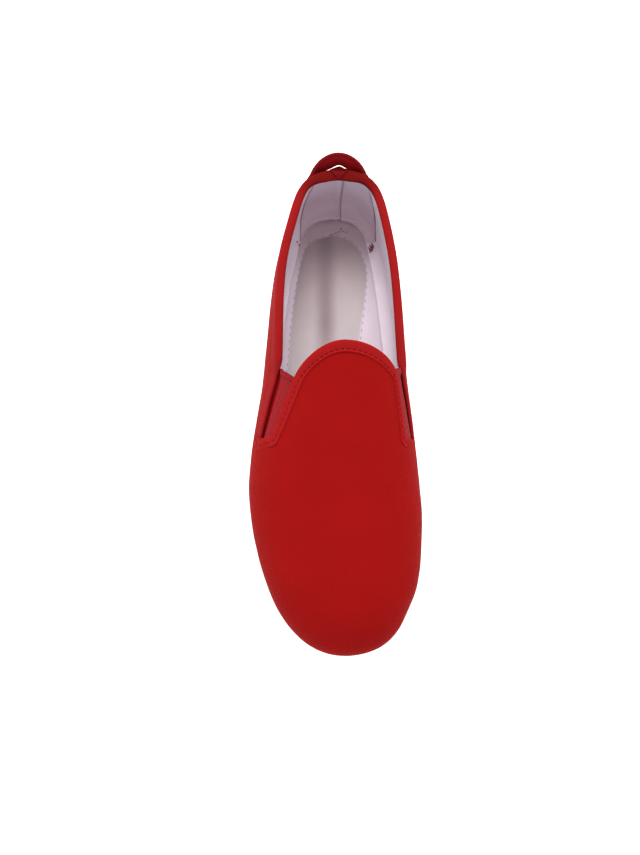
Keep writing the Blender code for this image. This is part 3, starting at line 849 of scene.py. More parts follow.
def cotton_finish(name, top, foot, sewn=()):
    """Bleached cotton, with painted shade making its foot darker than its top, and painted shade along its
    sewn lines.
    """
    cotton = Finish(name, roughness=0.92, specular=0.1)
    where = cotton.place()
    around, along = cotton.parts(cotton.cloth(), 0, 1)
    threads = (around * 9000.0).sine() * (along * 9000.0).sine()
    mottled = cotton.noise(where, 90.0, 4.0)
    across, height = cotton.parts(where, 0, 2)
    high, low = cotton.tint(top, 0.05, mottled), cotton.tint(foot, 0.05, mottled)
    colour = cotton.blend(height.clipped(0.012, 0.040), low, high)
    for line in sewn:
        beside = (across - line.x - (height - line.z) * line.lean).size().clipped(0.0001, 0.0007)
        beside = beside + height.clipped(0.042, 0.052)
        colour = cotton.times(colour, cotton.blend(beside, SEAM_SHADE, WHITE))
    cotton.set("Base Color", colour)
    cotton.relief(threads * 0.5 + mottled, 0.00007)
    return cotton.material


def give_wall(piece, thickness, offset):
    """Gives an open surface its thickness, from the face that it shows."""
    solidify = piece.modifiers.new("Wall", "SOLIDIFY")
    solidify.thickness = thickness
    solidify.offset = offset
    solidify.use_even_offset = False


CUT_FIRST, CUT_END, CUT_FOOT = FIRST_THROAT + 11, FIRST_TOE + 2, QUARTER_TOP - 8


def in_lining(column, row):
    """Like the canvas, but cut away beside and just past the gores, where only the canvas is bound."""
    beside = CUT_FIRST <= column < FIRST_TOE and CUT_FOOT <= row < QUARTER_TOP
    past = FIRST_TOE <= column < CUT_END and CUT_FOOT <= row <= VAMP_FOOT
    return in_shell(column, row) and not beside and not past


def make_heel_piece():
    """The back of the lining, cut off along its sewn edges."""
    bm = make_shell(heel_piece_depth, lambda column, row: column < HEEL_COLUMNS and row < QUARTER_TOP)
    cuts = [((0.0, HEEL_PIECE_FRONT, 0.0), (0.0, -1.0, 0.0))]
    for edge in HEEL_EDGES:
        cuts.append(((edge.x, 0.0, edge.z), (edge.outward, 0.0, -edge.outward * edge.lean)))
    for place, outward in cuts:
        whole = bm.verts[:] + bm.edges[:] + bm.faces[:]
        bmesh.ops.bisect_plane(bm, geom=whole, plane_co=place, plane_no=outward, clear_outer=True)
    return bm


# Painted shade: both foot tones are darker than the tops, and the heel piece's grey stands for the shade
# inside the heel.
WHITE_COTTON, WHITE_FOOT_SHADE = rgb(0.93, 0.86, 0.93), rgb(0.80, 0.71, 0.78)
HEEL_SHADE_COTTON, HEEL_SHADE_FOOT = rgb(0.73, 0.62, 0.72), rgb(0.60, 0.47, 0.53)
SIDE_COTTON = cotton_finish("lining_cotton", WHITE_COTTON, WHITE_FOOT_SHADE)
SEWN_LINES = HEEL_EDGES + [SewnEdge(1, BACK_SEAM_X, 0.037, 0.0)]
HEEL_COTTON = cotton_finish("heel_cotton", HEEL_SHADE_COTTON, HEEL_SHADE_FOOT, SEWN_LINES)
lining = piece_from(make_shell(lining_depth, in_lining), "cotton_lining", SIDE_COTTON, turned=True)
give_wall(lining, LINING, 1.0)
heel_piece = piece_from(make_heel_piece(), "heel_lining", HEEL_COTTON, turned=True)
give_wall(heel_piece, HEEL_LINING, 1.0)
for part in (lining, heel_piece):
    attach(part, "root")


# Canvas upper. Red cotton twill in one with the quarters and the vamp, pulled over the last and
# sewn or glued under round the sole, with a plain seam down the back of the heel.
CANVAS = 0.0009
CANVAS_RED = rgb(0.275, 0.0034, 0.0030)
SEAM_X, SEAM_DIP = 0.0002, 0.00045


def canvas_depth(point):
    """Soft hollows and swells of cloth on the last, and the closed seam behind the heel."""
    soft = 0.00016 * noise.noise(point * 45.0) + 0.00007 * noise.noise(point * 130.0)
    low = 1 - smooth_step(0.002, 0.010, point.z - sole_top(point.y))
    pucker = 0.00025 * low * noise.noise(Vector((point.x * 260.0, point.y * 260.0, point.z * 60.0)))
    seam = SEAM_DIP * swell(point.x - SEAM_X, 0.0008) * (point.y > 0.09)
    return soft + pucker + seam


def twill_finish():
    twill = Finish("red_twill", roughness=0.85, specular=0.06)
    where = twill.place()
    spot = twill.cloth()
    across, along = twill.parts(spot, 0, 1)
    drift = twill.noise(where, 260.0)
    rib = ((across + along) * 4200.0 + drift * 2.0).sine()
    thread = ((across - along) * 8400.0 + drift * 3.0).sine()
    stretched = twill.node("ShaderNodeMapping", {}, {"Vector": spot, "Scale": (2600, 420, 1)})
    slub = twill.noise(stretched, 1.0, 3.0)
    cloudy = twill.noise(where, 55.0, 4.0)
    weave = rib * 0.36 + thread * 0.2 + slub
    red = twill.tint(CANVAS_RED, 0.08, cloudy)
    twill.set("Base Color", twill.times(red, twill.tint(WHITE, 0.15, weave.clipped(-0.2, 1.2))))
    twill.set("Roughness", slub * 0.12 + 0.80)
    twill.relief(weave, 0.00009)
    return twill.material


canvas = piece_from(make_shell(canvas_depth), "canvas_upper", twill_finish(), turned=True)
give_wall(canvas, CANVAS, -1.0)
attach(canvas, "root")
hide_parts("upper")


# Elastic gores. Ribbed red elastic webbing let into a slot on each side of the throat, between the
# canvas and the lining, with its top end folded into a hem.
WEBBING_LENGTH, WEBBING_PAST_SLOT, SEWN_DEPTH = 0.046, 0.005, 0.0011
GORE_MARGIN, GORE_THICKNESS = 0.0070, 0.0009
GORE_COLUMNS, GORE_ROWS, EDGE_STEPS = 90, 84, 60
ELASTIC_RIB, RIB_RISE, HEM_RISE = 0.0010, 0.00016, 0.0005
# The hem's darker red is painted shade along the webbing's top edge, and a dark line at the hem's fold.
ELASTIC_RED, HEM_LINE_AND_SHADE_RED = rgb(0.255, 0.0042, 0.0078), rgb(0.175, 0.0025, 0.006)
# Painted shade: the red of the webbing down in the slot's shadow beside the quarter's edge.
GAP_SHADE_RED = rgb(0.34, 0.003, 0.003)

# Top is how far ahead of the throat the hem starts on the quarter, slant how much further ahead it
# ends on the vamp, and depth how far the webbing lies inside the canvas in the open slot.
Webbing = namedtuple("Webbing", "top slant depth")
WEBBING = {LATERAL: Webbing(0.0046, 0.0139, 0.0031), MEDIAL: Webbing(0.0046, 0.0080, 0.0036)}


def climb_beyond(side, angle, climb, distance):
    """The climb that lies a distance further up the surface than another, or down if negative."""
    here = climb_point(side, angle, climb)
    pace = (climb_point(side, angle, climb + 0.01) - here).length / 0.01
    return climb + distance / pace


def gore_lines(side):
    """Lines of points across the gore, each with how far across and along the webbing it lies."""
    top, slant, deepest = WEBBING[side]
    first_angle, end_angle = angle_at(THROAT_Y - top), angle_at(GORE_END_Y - WEBBING_PAST_SLOT)
    edges = []
    for angle in between(first_angle, end_angle, EDGE_STEPS) + [end_angle]:
        edges.append((QUARTER[side](angle), VAMP[side](angle)))

    def edge_climbs(angle):
        """Both edges' climbs at an angle, read between the ones worked out."""
        at = clamp((angle - first_angle) / (end_angle - first_angle) * EDGE_STEPS, 0.0, EDGE_STEPS - 0.001)
        before, after, share = edges[int(at)], edges[int(at) + 1], at % 1.0
        return [low + (high - low) * share for low, high in zip(before, after)]

    lines = []
    for j in range(GORE_COLUMNS + 1):
        line, across, before = [], 0.0, None
        for i in range(GORE_ROWS + 1):
            share = i / GORE_ROWS
            start = angle_at(THROAT_Y - top - slant * share)
            angle = start + (end_angle - start) * j / GORE_COLUMNS
            quarter, vamp = edge_climbs(angle)
            low = climb_beyond(side, angle, quarter, -GORE_MARGIN)
            high = climb_beyond(side, angle, vamp, GORE_MARGIN)
            at = climb_point(side, angle, low + (high - low) * share)
            if before:
                across += (at - before).length
            before = at
            along = (angle - start) / (end_angle - start) * WEBBING_LENGTH
            beyond = across - GORE_MARGIN
            open_slot = smooth_step(-0.0045, -0.0010, beyond) * smooth_step(0.0036, 0.0006, beyond)
            depth = SEWN_DEPTH + (deepest - SEWN_DEPTH) * open_slot
            hem = HEM_RISE * (1 - smooth_step(0.0028, 0.0034, along))
            rib = RIB_RISE * abs(math.sin(math.pi * across / ELASTIC_RIB))
            line.append((at - surface_normal(at) * (depth - hem - rib), (across, along)))
        lines.append(line)
    return lines


def elastic_finish():
    elastic = Finish("red_elastic", roughness=0.7, specular=0.12)
    across, along = elastic.parts(elastic.cloth(), 0, 1)
    rib = (across * (math.pi / ELASTIC_RIB)).sine().size()
    picks = (along * 8500.0 + rib * 1.5).sine()
    mottled = elastic.noise(elastic.place(), 400.0, 3.0)
    shade = (rib * 0.6 + picks * 0.2 + mottled * 0.4).clipped(0.0, 1.2)
    red = elastic.tint(ELASTIC_RED, 0.16, shade)
    # Painted shade along the webbing's top edge, and a dark line along the hem's fold.
    hem = (along - 0.0030).size().clipped(0.0001, 0.0005) * along.clipped(0.0002, 0.0007)
    # Painted shade: beside the quarter's edge the webbing gets a purer red, set for the shaded slot.
    open_slot = across.clipped(GORE_MARGIN + 0.0008, GORE_MARGIN + 0.0026)
    elastic.set("Base Color", elastic.blend(open_slot, GAP_SHADE_RED, elastic.blend(hem, HEM_LINE_AND_SHADE_RED, red)))
    elastic.set("Roughness", mottled * 0.2 + 0.55)
    elastic.relief(picks * 0.5 + mottled, 0.00008)
    return elastic.material


ELASTIC = elastic_finish()
for side in SIDES:
    lines = gore_lines(side)
    bm = bmesh.new()
    lay(bm, GORE_COLUMNS, GORE_ROWS, lambda column, row: lines[column][row])
    gore = piece_from(bm, f"elastic_{side}", ELASTIC, 80)
    give_wall(gore, GORE_THICKNESS, -1.0)
    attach(gore, "root")
    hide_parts(f"gore_{side}")


# Collar binding. A red cotton tape folded over the quarters' top edge, from one gore's end round
# the heel to the other's, padded out by the turnings that it covers, with its ends lapped at the
# back.
TAPE, COLLAR_TAPE_WIDTH, BINDING_PAST_GORE = 0.0010, 0.0045, 0.0008
FOLD_DEPTH = GAP + TAPE
TAPE_END_ANGLE = angle_at(GORE_END_Y + 2 * FOLD_DEPTH)
BINDING_END_ANGLE = angle_at(GORE_END_Y - BINDING_PAST_GORE)
ROLL_STEPS = 18
Seat = namedtuple("Seat", "edge inner edge_normal inner_normal fold")


def seat_at(edge, into, width, fold=None):
    """Where one section of tape lies: into runs across the fabric and fold out over its edge."""
    inner = settled(edge + into * width)
    return Seat(edge, inner, surface_normal(edge), surface_normal(inner), fold or -into)


def across_edge(edge, along, turn):
    """The direction in the surface that leads from an edge into the fabric."""
    return surface_normal(edge).cross(along).normalized() * turn


def seats_along(points, width_of, turn):
    seats = []
    for i, edge in enumerate(points):
        before, after = points[max(i - 1, 0)], points[min(i + 1, len(points) - 1)]
        seats.append(seat_at(edge, across_edge(edge, after - before, turn), width_of(edge)))
    return seats


def edge_path(edge_of, angles):
    """Points along an edge from the lateral gore's end round to the medial one."""
    lateral = [edge_of(LATERAL, angle) for angle in reversed(angles)]
    return lateral + [edge_of(MEDIAL, angle) for angle in angles[1:]]


def quarter_edge(side, angle):
    return climb_point(side, angle, QUARTER[side](angle))


def rolled_section(seat):
    """The collar's tape in section: down the outer face, round over the edge and down the inner.
    It is padded full round the heel and lies thin along the gores."""
    edge, inner, n_edge, n_inner, fold = seat
    gore = smooth_step(THROAT_Y - 0.002, THROAT_Y - 0.012, edge.y)
    end = smooth_step(GORE_END_Y + 0.008, GORE_END_Y + 0.001, edge.y)
    heel = smooth_step(0.0165, 0.0060, abs(edge.x)) * (edge.y > 0.08)
    proud = FOLD_DEPTH * (1 - 0.70 * gore - 0.26 * end - 0.45 * heel)
    deep = FOLD_DEPTH * (1 - 0.75 * gore) + 0.0016 * heel
    rise = 0.0013 * (1 - 0.5 * gore) - 0.0009 * heel
    wall = WALL + (CANVAS - WALL) * gore
    half = (wall + proud + deep) / 2
    middle = edge + n_edge * (proud - half)
    line = [
        inner - n_inner * 0.0001,
        inner + n_inner * proud * 0.45,
        inner.lerp(edge, 0.12) + n_inner * proud * 0.85,
        inner.lerp(edge, 0.45) + n_inner.lerp(n_edge, 0.45) * proud,
    ]
    for i in range(ROLL_STEPS + 1):
        turn = math.pi * i / ROLL_STEPS
        line.append(middle + n_edge * half * math.cos(turn) + fold * rise * math.sin(turn))
    back = inner - n_inner * wall
    line += [
        back.lerp(edge - n_edge * wall, 0.45) - n_inner.lerp(n_edge, 0.45) * deep,
        back.lerp(edge, 0.12) - n_inner * deep * 0.85,
        back - n_inner * deep * 0.45,
        back + n_inner * 0.0001,
    ]
    return line


def tape_lines(seats, section):
    """Each seat's section, with how far round the tape and along it every point lies."""
    lines, along = [], 0.0
    for i, seat in enumerate(seats):
        if i:
            along += (seat.edge - seats[i - 1].edge).length
        points, round_tape, line = section(seat), 0.0, []
        for j, point in enumerate(points):
            if j:
                round_tape += (point - points[j - 1]).length
            line.append((point, (round_tape, along)))
        lines.append(line)
    return lines


def make_tape(lines, name, material):
    """A tube along the sections, closed round and capped at both ends."""
    bm = bmesh.new()
    rows = len(lines[0])
    lay(bm, len(lines) - 1, rows, lambda column, row: lines[column][row % rows])
    bmesh.ops.remove_doubles(bm, verts=bm.verts, dist=MERGED)
    ends = [edge for edge in bm.edges if edge.is_boundary]
    bmesh.ops.holes_fill(bm, edges=ends, sides=0)
    return piece_from(bm, name, material, 60)


DARKENED_TONE = rgb(0.52, 0.50, 0.50)


def tape_finish(name, colour, darkened_where=None):
    """Plain woven tape, which a given mask can darken: painted shade at the heel on the collar's binding,
    and a darker top edge on the pull loop.
    """
    tape = Finish(name, roughness=0.85, specular=0.06)
    where = tape.place()
    around, along = tape.parts(tape.cloth(), 0, 1)
    drift = tape.noise(where, 300.0)
    weft = (along * 9800.0 + drift * 3.0).sine()
    warp = (around * 9800.0 + drift * 3.0).sine()
    mottled = tape.noise(where, 150.0, 4.0)
    red = tape.tint(colour, 0.12, mottled * 0.8 + weft * warp * 0.1)
    if darkened_where:
        length = tape.parts(where, 1)[0]
        red = tape.times(red, tape.blend(darkened_where(length, around), WHITE, DARKENED_TONE))
    tape.set("Base Color", red)
    tape.set("Roughness", mottled * 0.12 + 0.76)
    tape.relief(weft * warp * 0.4 + mottled, 0.00008)
    return tape.material


COLLAR_ANGLES = between(0.0, 0.02, 5) + between(0.02, THROAT_ANGLE, 90)
COLLAR_ANGLES += between(THROAT_ANGLE, BINDING_END_ANGLE, 36) + [BINDING_END_ANGLE]
COLLAR_SEATS = seats_along(edge_path(quarter_edge, COLLAR_ANGLES), lambda edge: COLLAR_TAPE_WIDTH, 1)
COLLAR_RED = rgb(0.275, 0.0072, 0.0079)
# Painted shade: the binding, and the lap that shares its finish, darken towards the back of the heel.
COLLAR_FINISH = tape_finish("collar_cotton", COLLAR_RED, lambda length, around: length.clipped(0.100, 0.116))
collar = make_tape(tape_lines(COLLAR_SEATS, rolled_section), "collar_binding", COLLAR_FINISH)
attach(collar, "root")
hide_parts("collar_tape")

# The lapped end of the tape shows as a diamond behind the heel, whose top corner stands up.
LAP_X, LAP_HALF_LENGTH, LAP_STEPS = 0.0005, 0.0052, 28
LAP_LOW, LAP_TOP = 0.80, 0.20
LAP_STAND = Vector((0.0, 0.0008, 0.0021))
LAP_THICKNESS, LAP_PROUD, LAP_SEAM_X = 0.0005, 0.0004, 0.0031


def lap_point(across, up):
    """A point of the diamond: across and up run from -1 to 1 over its width and its height."""
    x = LAP_X + across * LAP_HALF_LENGTH
    seat = min(COLLAR_SEATS, key=lambda seat: abs(seat.edge.x - x) + (seat.edge.y < 0.08))
    section = rolled_section(seat)[4 : 5 + ROLL_STEPS]
    along = (LAP_LOW + (LAP_TOP - LAP_LOW) * min(up + 1, 1.0)) * (len(section) - 1)
    low = min(int(along), len(section) - 2)
    point = section[low].lerp(section[low + 1], along - low)
    centre = (section[0] + section[-1]) / 2
    seam = 0.0003 * swell(x - LAP_SEAM_X, 0.0004)
    point += (point - centre).normalized() * (LAP_PROUD - seam)
    point.x = x
    return point + LAP_STAND * max(up, 0.0)


def make_lap():
    def place(column, row):
        u, v = 2 * column / LAP_STEPS - 1, 2 * row / LAP_STEPS - 1
        return lap_point((u - v) / 2, (u + v) / 2), (column * 0.0003, row * 0.0003)

    bm = bmesh.new()
    lay(bm, LAP_STEPS, LAP_STEPS, place)
    bmesh.ops.smooth_vert(bm, verts=bm.verts, factor=0.5, use_axis_x=False, use_axis_y=True, use_axis_z=True)
    lap = piece_from(bm, "collar_lap", COLLAR_FINISH, 70)
    give_wall(lap, LAP_THICKNESS, 0.0)
    return lap


lap = make_lap()
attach(lap, "root")


# Throat band. The vamp's own edge turned and stitched down on a narrow tape, round the throat,
# down both gores and a little way on under their ends.
BAND, BAND_WIDTH, MEDIAL_NARROWING = 0.0004, 0.0054, 0.0020
BAND_RUN_OUT = 0.0015
BAND_TUCK = WALL + 0.0005
BAND_ROLL_STEPS = 8

# The band's face, from its inner border to its edge: a share of the way across, and a height of so
# many lifts over the canvas. The rows up to the cord's end are the corded border.
BAND_CORD_END = 0.3
BandRow = namedtuple("BandRow", "share lifts")
BAND_FACE = [
    BandRow(0.03, 1.3),
    BandRow(0.08, 1.9),
    BandRow(0.14, 1.4),
    BandRow(0.20, 0.9),
    BandRow(0.32, 0.7),
    BandRow(0.55, 1.3),
    BandRow(0.80, 1.4),
]


def band_width(edge):
    """The band is narrower down the medial gore than round the throat and under the gore's end."""
    gore = smooth_step(THROAT_Y - 0.006, THROAT_Y - 0.018, edge.y)
    gore *= smooth_step(GORE_END_Y + 0.0002, GORE_END_Y + 0.0024, edge.y) * (edge.x > 0)
    return BAND_WIDTH - MEDIAL_NARROWING * gore


def vamp_edge(side, angle):
    if angle == THROAT_ANGLE:
        point = spine_point(angle)
        point.z = crown_surface(point.x, point.y)
        return point
    return climb_point(side, angle, VAMP[side](angle))


def corner_seats(before, corner, after):
    """Sections that swing the band round a corner and share one mitred fold inside it."""
    first = across_edge(corner, corner - before, -1)
    last = across_edge(corner, after - corner, -1)
    fold = -(first + last) / (1 + first.dot(last))
    seats = []
    for share in between(0.0, 1.0, 10) + [1.0]:
        width = band_width(before) + (band_width(after) - band_width(before)) * share
        seats.append(seat_at(corner, first.lerp(last, share).normalized(), width, fold))
    return seats


def band_section(seat):
    """The band in section: flat on the vamp, with a corded inner border and a rolled edge. It
    thins out to nothing where it runs on under the gore's end."""
    edge, inner, n_edge, n_inner, fold = seat
    lift = BAND * seat_lift(seat)
    line = [inner - n_inner * 0.0002, inner + n_inner * 0.0001]
    for share, lifts in BAND_FACE:
        normal = n_inner if share < BAND_CORD_END else n_inner.lerp(n_edge, share)
        line.append(inner.lerp(edge, share) + normal * (lift * lifts - 0.0001))
    half = (BAND_TUCK + lift) / 2
    middle = edge + n_edge * (lift - half)
    for i in range(BAND_ROLL_STEPS + 1):
        turn = math.pi * i / BAND_ROLL_STEPS
        line.append(middle + n_edge * half * math.cos(turn) + fold * 0.0007 * math.sin(turn))
    line.append(edge - n_edge * BAND_TUCK - fold * 0.0015)
    line.append(edge - n_edge * CANVAS - fold * 0.0015)
    return line


def seat_lift(seat):
    """1 along the throat and gores, falling to 0 past the quarter's edge at each gore's end."""
    if seat.edge.y > GORE_END_Y + 0.004:
        return 1.0
    side = LATERAL if seat.edge.x < 0 else MEDIAL
    corner, far = vamp_edge(side, GORE_ANGLE), quarter_edge(side, GORE_ANGLE)
    passed = (seat.edge - far).dot((far - corner).normalized())
    return 1 - smooth_step(-0.0010, BAND_RUN_OUT, passed)


def throat_seats():
    """Every section of the band, from past the lateral gore's end round to past the medial one's."""
    angles = [angle for angle in THROAT_PART if angle < TAPE_END_ANGLE] + [TAPE_END_ANGLE]
    points = edge_path(vamp_edge, angles)
    ends = {}
    for side, turn in ((LATERAL, 1), (MEDIAL, -1)):
        corner, far = vamp_edge(side, GORE_ANGLE), quarter_edge(side, GORE_ANGLE)
        along = (far - corner).normalized()
        past = [settled(far + along * BAND_RUN_OUT * i / 5) for i in range(6)]
        tail = seats_along([corner] + past, band_width, turn)[1:]
        if side == LATERAL:
            ends[side] = tail[::-1] + corner_seats(far, corner, points[0])
        else:
            ends[side] = corner_seats(points[-1], corner, far) + tail
    return ends[LATERAL] + seats_along(points, band_width, -1) + ends[MEDIAL]


THROAT_SEATS = throat_seats()
BAND_FINISH = tape_finish("throat_cotton", rgb(0.310, 0.0066, 0.0070))
band = make_tape(tape_lines(THROAT_SEATS, band_section), "throat_band", BAND_FINISH)
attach(band, "root")
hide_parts("throat_tape")


# Pull loop. A folded length of the same tape, arched behind the heel with both ends sewn to the
# collar's binding.
LOOP_REACH, LOOP_WIDTH, LOOP_THICKNESS = 0.0042, 0.0095, 0.0018
LOOP_HALF_SPAN, LOOP_SEWN, LOOP_DROP = 0.0140, 0.0030, 0.0055
LOOP_ABOVE_COLLAR, LOOP_LEAN, LOOP_SWING = 0.0042, 0.0043, math.radians(65)
LOOP_LEVELS, LOOP_STEPS, LOOP_ROUNDING = 12, 20, 0.0006
LOOP_RED = rgb(0.310, 0.0078, 0.0115)


def beside_wall(side, z, reach, out):
    """A point beside the binding at one height, so far out from the canvas."""

    def at_angle(angle):
        climb = bisect(lambda climb: climb_point(side, angle, climb).z < z)
        at = climb_point(side, angle, climb)
        return at + surface_normal(at) * out

    middle = RIDGE_X.at(0.0)
    angle = bisect(lambda angle: abs(at_angle(angle).x - middle) < reach, 0.0, THROAT_ANGLE / 2)
    return at_angle(angle)


def half_arch(end, apex):
    """Points from the loop's middle out to where it meets the binding, without the middle."""
    points = []
    for i in range(1, LOOP_STEPS + 1):
        turn = LOOP_SWING * i / LOOP_STEPS
        out = math.sin(turn) / math.sin(LOOP_SWING)
        down = (1 - math.cos(turn)) / (1 - math.cos(LOOP_SWING))
        x = apex.x + (end.x - apex.x) * out
        points.append(Vector((x, *(apex.yz + (end.yz - apex.yz) * down))))
    return points


def loop_lines():
    """The loop's levels from its lower edge up, each a line of points round the heel. The middle of
    the lower ones is pushed up and back, so that the loop stands open."""
    collar_back = quarter_edge(LATERAL, 0.0)
    back_y = y_of(0) + LOOP_REACH - LOOP_THICKNESS / 2
    lines = []
    for i in range(LOOP_LEVELS + 1):
        level = i / LOOP_LEVELS
        z = collar_back.z + LOOP_ABOVE_COLLAR - LOOP_WIDTH * (1 - level)
        apex = Vector((collar_back.x, back_y - LOOP_LEAN * (1 - level), z))
        halves = []
        for side in SIDES:
            meets = beside_wall(side, z - LOOP_DROP, LOOP_HALF_SPAN, FOLD_DEPTH + 0.0003)
            ends = beside_wall(side, z - LOOP_DROP, LOOP_HALF_SPAN + LOOP_SEWN, 0.0)
            sewn = [meets.lerp(ends, j / 4) for j in range(1, 5)]
            halves.append(half_arch(meets, apex) + sewn)
        points = list(reversed(halves[0])) + [apex] + halves[1]
        for point in points:
            open_middle = swell(point.x - apex.x - 0.0006, 0.0044) * (1 - level) ** 2
            point.y += 0.0022 * open_middle
            point.z += 0.0012 * open_middle
        lines.append([(point, (level * LOOP_WIDTH, point.x)) for point in points])
    return lines


def make_loop():
    lines = loop_lines()
    bm = bmesh.new()
    lay(bm, len(lines) - 1, len(lines[0]) - 1, lambda column, row: lines[column][row])
    # The loop's cotton is darker along its top edge.
    top_darkened = tape_finish("loop_cotton", LOOP_RED, lambda length, around: around.clipped(0.0074, 0.0094))
    loop = piece_from(bm, "pull_loop", top_darkened)
    give_wall(loop, LOOP_THICKNESS, 0.0)
    rounded = loop.modifiers.new("Rounded", "BEVEL")
    rounded.width = LOOP_ROUNDING
    rounded.segments = 3
    rounded.limit_method = "ANGLE"
    rounded.angle_limit = math.radians(50)
    return loop


loop = make_loop()
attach(loop, "root")
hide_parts("heel_loop")


# Stitching. Dark red cotton thread round the collar and the throat, its darkness partly painted shade of
# the stitch holes, and white thread round the insole, painted grey as shade. Each stitch is a short bar
# pulled a little into the cloth. A few loose red ends are left at the heel.
STITCH_LENGTH, STITCH_UNEVENNESS = 0.0021, 0.16
COLLAR_ROW_SHARE, INSOLE_ROW_SHARE = -0.06, 0.93
THROAT_ROW = {"lift": 0.0002, "pitch": 0.0029, "half": 0.00036}
COLLAR_ROW = {"lift": 0.0, "pitch": 0.0027, "half": 0.00019}
INSOLE_ROW = {"pitch": 0.0042, "half": 0.00022}
UP = Vector((0.0, 0.0, 1.0))


def thread_finish(name, colour):
    thread = Finish(name, roughness=0.8, specular=0.08)
    where = thread.place()
    twist = thread.noise(where, 3000.0, 1.0)
    thread.set("Base Color", thread.tint(colour, 0.2, twist))
    thread.relief(twist, 0.00004)
    return thread.material


def thread_bar(bm, middle, along, normal, half_length, half, roundness):
    """A short length of thread: a ball stretched along its own direction."""
    side = normal.cross(along).normalized()
    turn = Matrix((along, side, along.cross(side))).transposed().to_4x4()
    placed = Matrix.Translation(middle) @ turn @ Matrix.Diagonal((half_length, half, half, 1.0))
    bmesh.ops.create_icosphere(bm, subdivisions=roundness, radius=1.0, matrix=placed)


def sewn_along(name, path, normals, material, pitch, half):
    """One bar for every pitch of the path."""
    bm = bmesh.new()
    bm.loops.layers.uv.new("cloth")
    walked, due = 0.0, pitch / 2
    for i in range(len(path) - 1):
        step = (path[i + 1] - path[i]).length
        while walked + step >= due:
            share = (due - walked) / step
            middle = path[i].lerp(path[i + 1], share)
            normal = normals[i].lerp(normals[i + 1], share).normalized()
            along = (path[i + 1] - path[i]).normalized()
            thread_bar(bm, middle, along, normal, STITCH_LENGTH / 2, half, 1)
            due += pitch * (1 + STITCH_UNEVENNESS * noise.noise(middle * 700.0))
        walked += step
    return piece_from(bm, name, material, 80)


# Painted shade: the red thread is made darker for its stitch holes.
RED_THREAD_HOLE_SHADE = thread_finish("red_thread", rgb(0.170, 0.0026, 0.0038))
TUFT_THREAD = thread_finish("tuft_thread", rgb(0.190, 0.0090, 0.0200))
# Painted shade: the insole's white thread is coloured grey.
SHADED_WHITE_THREAD = thread_finish("white_thread", rgb(0.30, 0.24, 0.26))


def across_seat(seat, share, lift):
    """A point on a tape, a share of the way from its inner border to the edge, and its normal."""
    normal = seat.inner_normal.lerp(seat.edge_normal, share).normalized()
    return seat.inner.lerp(seat.edge, share) + normal * lift, normal


def sew_on_tape(name, seats, share_of, lift, pitch, half):
    spots = [across_seat(seat, share_of(seat), lift) for seat in seats]
    path, normals = [spot[0] for spot in spots], [spot[1] for spot in spots]
    return sewn_along(name, path, normals, RED_THREAD_HOLE_SHADE, pitch, half)


def throat_share(seat):
    """The row runs near the corded border round the throat and further from it down the gores."""
    return 0.31 + 0.20 * smooth_step(THROAT_Y - 0.004, THROAT_Y - 0.020, seat.edge.y)


def sew_insole():
    """White thread along the beige's border, from the heel down the lateral side and back."""
    path = []
    angles = [i / INSOLE_COLUMNS for i in range(INSOLE_COLUMNS + 1)]
    for side, way in ((LATERAL, angles), (MEDIAL, angles[::-1])):
        for angle in way:
            row = INSOLE_ROW_SHARE * allowance(side, angle)
            width = (spine_point(angle) - inside_foot(side, angle, WALL + GAP)).length
            path.append(insole_spot(side, angle, row / max(width, row))[0])
    return sewn_along("insole_stitches", path, [UP] * len(path), SHADED_WHITE_THREAD, **INSOLE_ROW)


SEWN_SEATS = [seat for seat in THROAT_SEATS if seat_lift(seat) > 0.6]


def loose_thread(bm, foot, heading, length, half):
    """A short bent end of thread, lying on the insole from its foot."""
    bend = Quaternion(UP, 0.35)
    along = Vector((math.cos(heading), math.sin(heading), 0.0))
    for _ in range(3):
        thread_bar(bm, foot + along * length / 6, along, UP, length / 5, half, 2)
        foot = foot + along * length / 3
        along = bend @ along


TUFT_LOW, TUFT_HIGH = Vector((0.0203, 0.0914, 0.0163)), Vector((0.0214, 0.0960, 0.0172))
TUFT_END, KNOT, STAIN = (0.0022, 0.00021), (0.0011, 0.00030), (0.0015, 0.00018)
KNOTS = [
    (-0.0199, 0.0965, 0.0162),
    (-0.0188, 0.0949, 0.0159),
    (0.0043, 0.1051, 0.0150),
    (0.0227, 0.1002, 0.0192),
    (0.0052, 0.1192, 0.0408),
]
HEEL_STAINS = [
    (-0.0016, 0.1022),
    (0.0006, 0.1034),
    (0.0027, 0.1041),
    (0.0048, 0.1044),
    (0.0070, 0.1041),
]


def make_loose_threads():
    """The red tuft where the medial edge of the heel's lining ends, with knots and dark marks."""
    bm = bmesh.new()
    bm.loops.layers.uv.new("cloth")
    for i in range(12):
        aside = Vector((0.0004 * (i % 4 - 1.5), 0.0, 0.0002 * (i % 3)))
        heading = math.radians(80 + 7 * (i * 5 % 7 - 3))
        loose_thread(bm, TUFT_LOW.lerp(TUFT_HIGH, i / 15) + aside, heading, *TUFT_END)
    for knot in KNOTS:
        loose_thread(bm, Vector(knot), math.radians(70), *KNOT)
    for x, y in HEEL_STAINS:
        foot = Vector((x, y, sole_top(y) + GAP + INSOLE_THICKNESS + 0.0004))
        loose_thread(bm, foot, 0.1, *STAIN)
    return piece_from(bm, "loose_threads", TUFT_THREAD, 80)


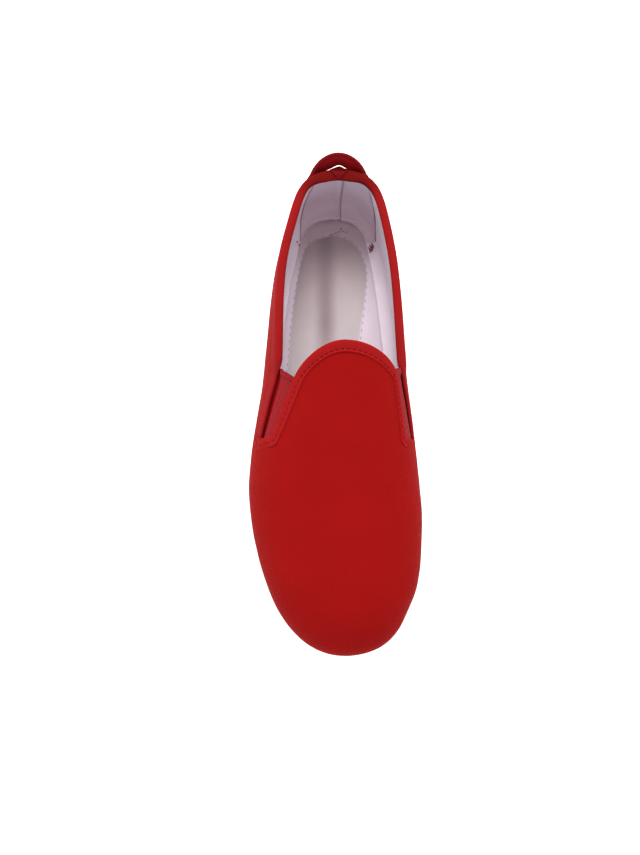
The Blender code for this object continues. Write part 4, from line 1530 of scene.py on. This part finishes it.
rows = (
    (sew_on_tape("throat_stitches", SEWN_SEATS, throat_share, **THROAT_ROW), "red_tape"),
    (sew_on_tape("collar_stitches", COLLAR_SEATS, lambda seat: COLLAR_ROW_SHARE, **COLLAR_ROW), "red_tape"),
    (sew_insole(), "white_cotton"),
    (make_loose_threads(), "red_tape"),
)
for stitches, slot in rows:
    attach(stitches, "root")


# Floor, light and camera. A white floor that runs out of the picture, one wide soft lamp overhead
# and white all round, seen from above and a little ahead of the toe.
def make_floor():
    bm = bmesh.new()
    bmesh.ops.create_grid(bm, x_segments=1, y_segments=1, size=4.0)
    paper = Finish("white_paper", roughness=0.9, specular=0.1)
    cloudy = paper.noise(paper.place(), 3.0)
    paper.set("Base Color", paper.tint(rgb(0.93, 0.93, 0.93), 0.01, cloudy))
    paper.set("Emission Color", WHITE)
    paper.set("Emission Strength", 0.55)
    return piece_from(bm, "floor", paper.material)


make_floor()


def set_up(data, place, turn):
    """Puts a lamp or a camera in its place."""
    stand = bpy.data.objects.new(data.name, data)
    stand.location = place
    stand.rotation_mode = "QUATERNION"
    stand.rotation_quaternion = turn
    bpy.context.scene.collection.objects.link(stand)
    return stand


LAMP_PLACE = Vector((-0.08, 1.00, 1.36))
CAMERA_PLACE = Vector((-0.0366, -0.1766, 0.6544))
CAMERA_TURN = Vector((14.8, -2.6, 0.3)) * math.pi / 180

lamp = bpy.data.lights.new("overhead", "AREA")
lamp.shape = "DISK"
lamp.size = 0.8
lamp.energy = 25.0
set_up(lamp, LAMP_PLACE, (-LAMP_PLACE).to_track_quat("-Z", "Y"))

world = bpy.data.worlds.new("studio")
world.use_nodes = True
world.node_tree.nodes["Background"].inputs["Color"].default_value = WHITE
world.node_tree.nodes["Background"].inputs["Strength"].default_value = 0.92
bpy.context.scene.world = world
bpy.context.scene.view_settings.view_transform = "Standard"

camera = bpy.data.cameras.new("camera")
camera.lens = 52.88
camera.sensor_width = 36.0
camera.clip_start = 0.01
bpy.context.scene.camera = set_up(camera, CAMERA_PLACE, Quaternion(CAMERA_TURN))
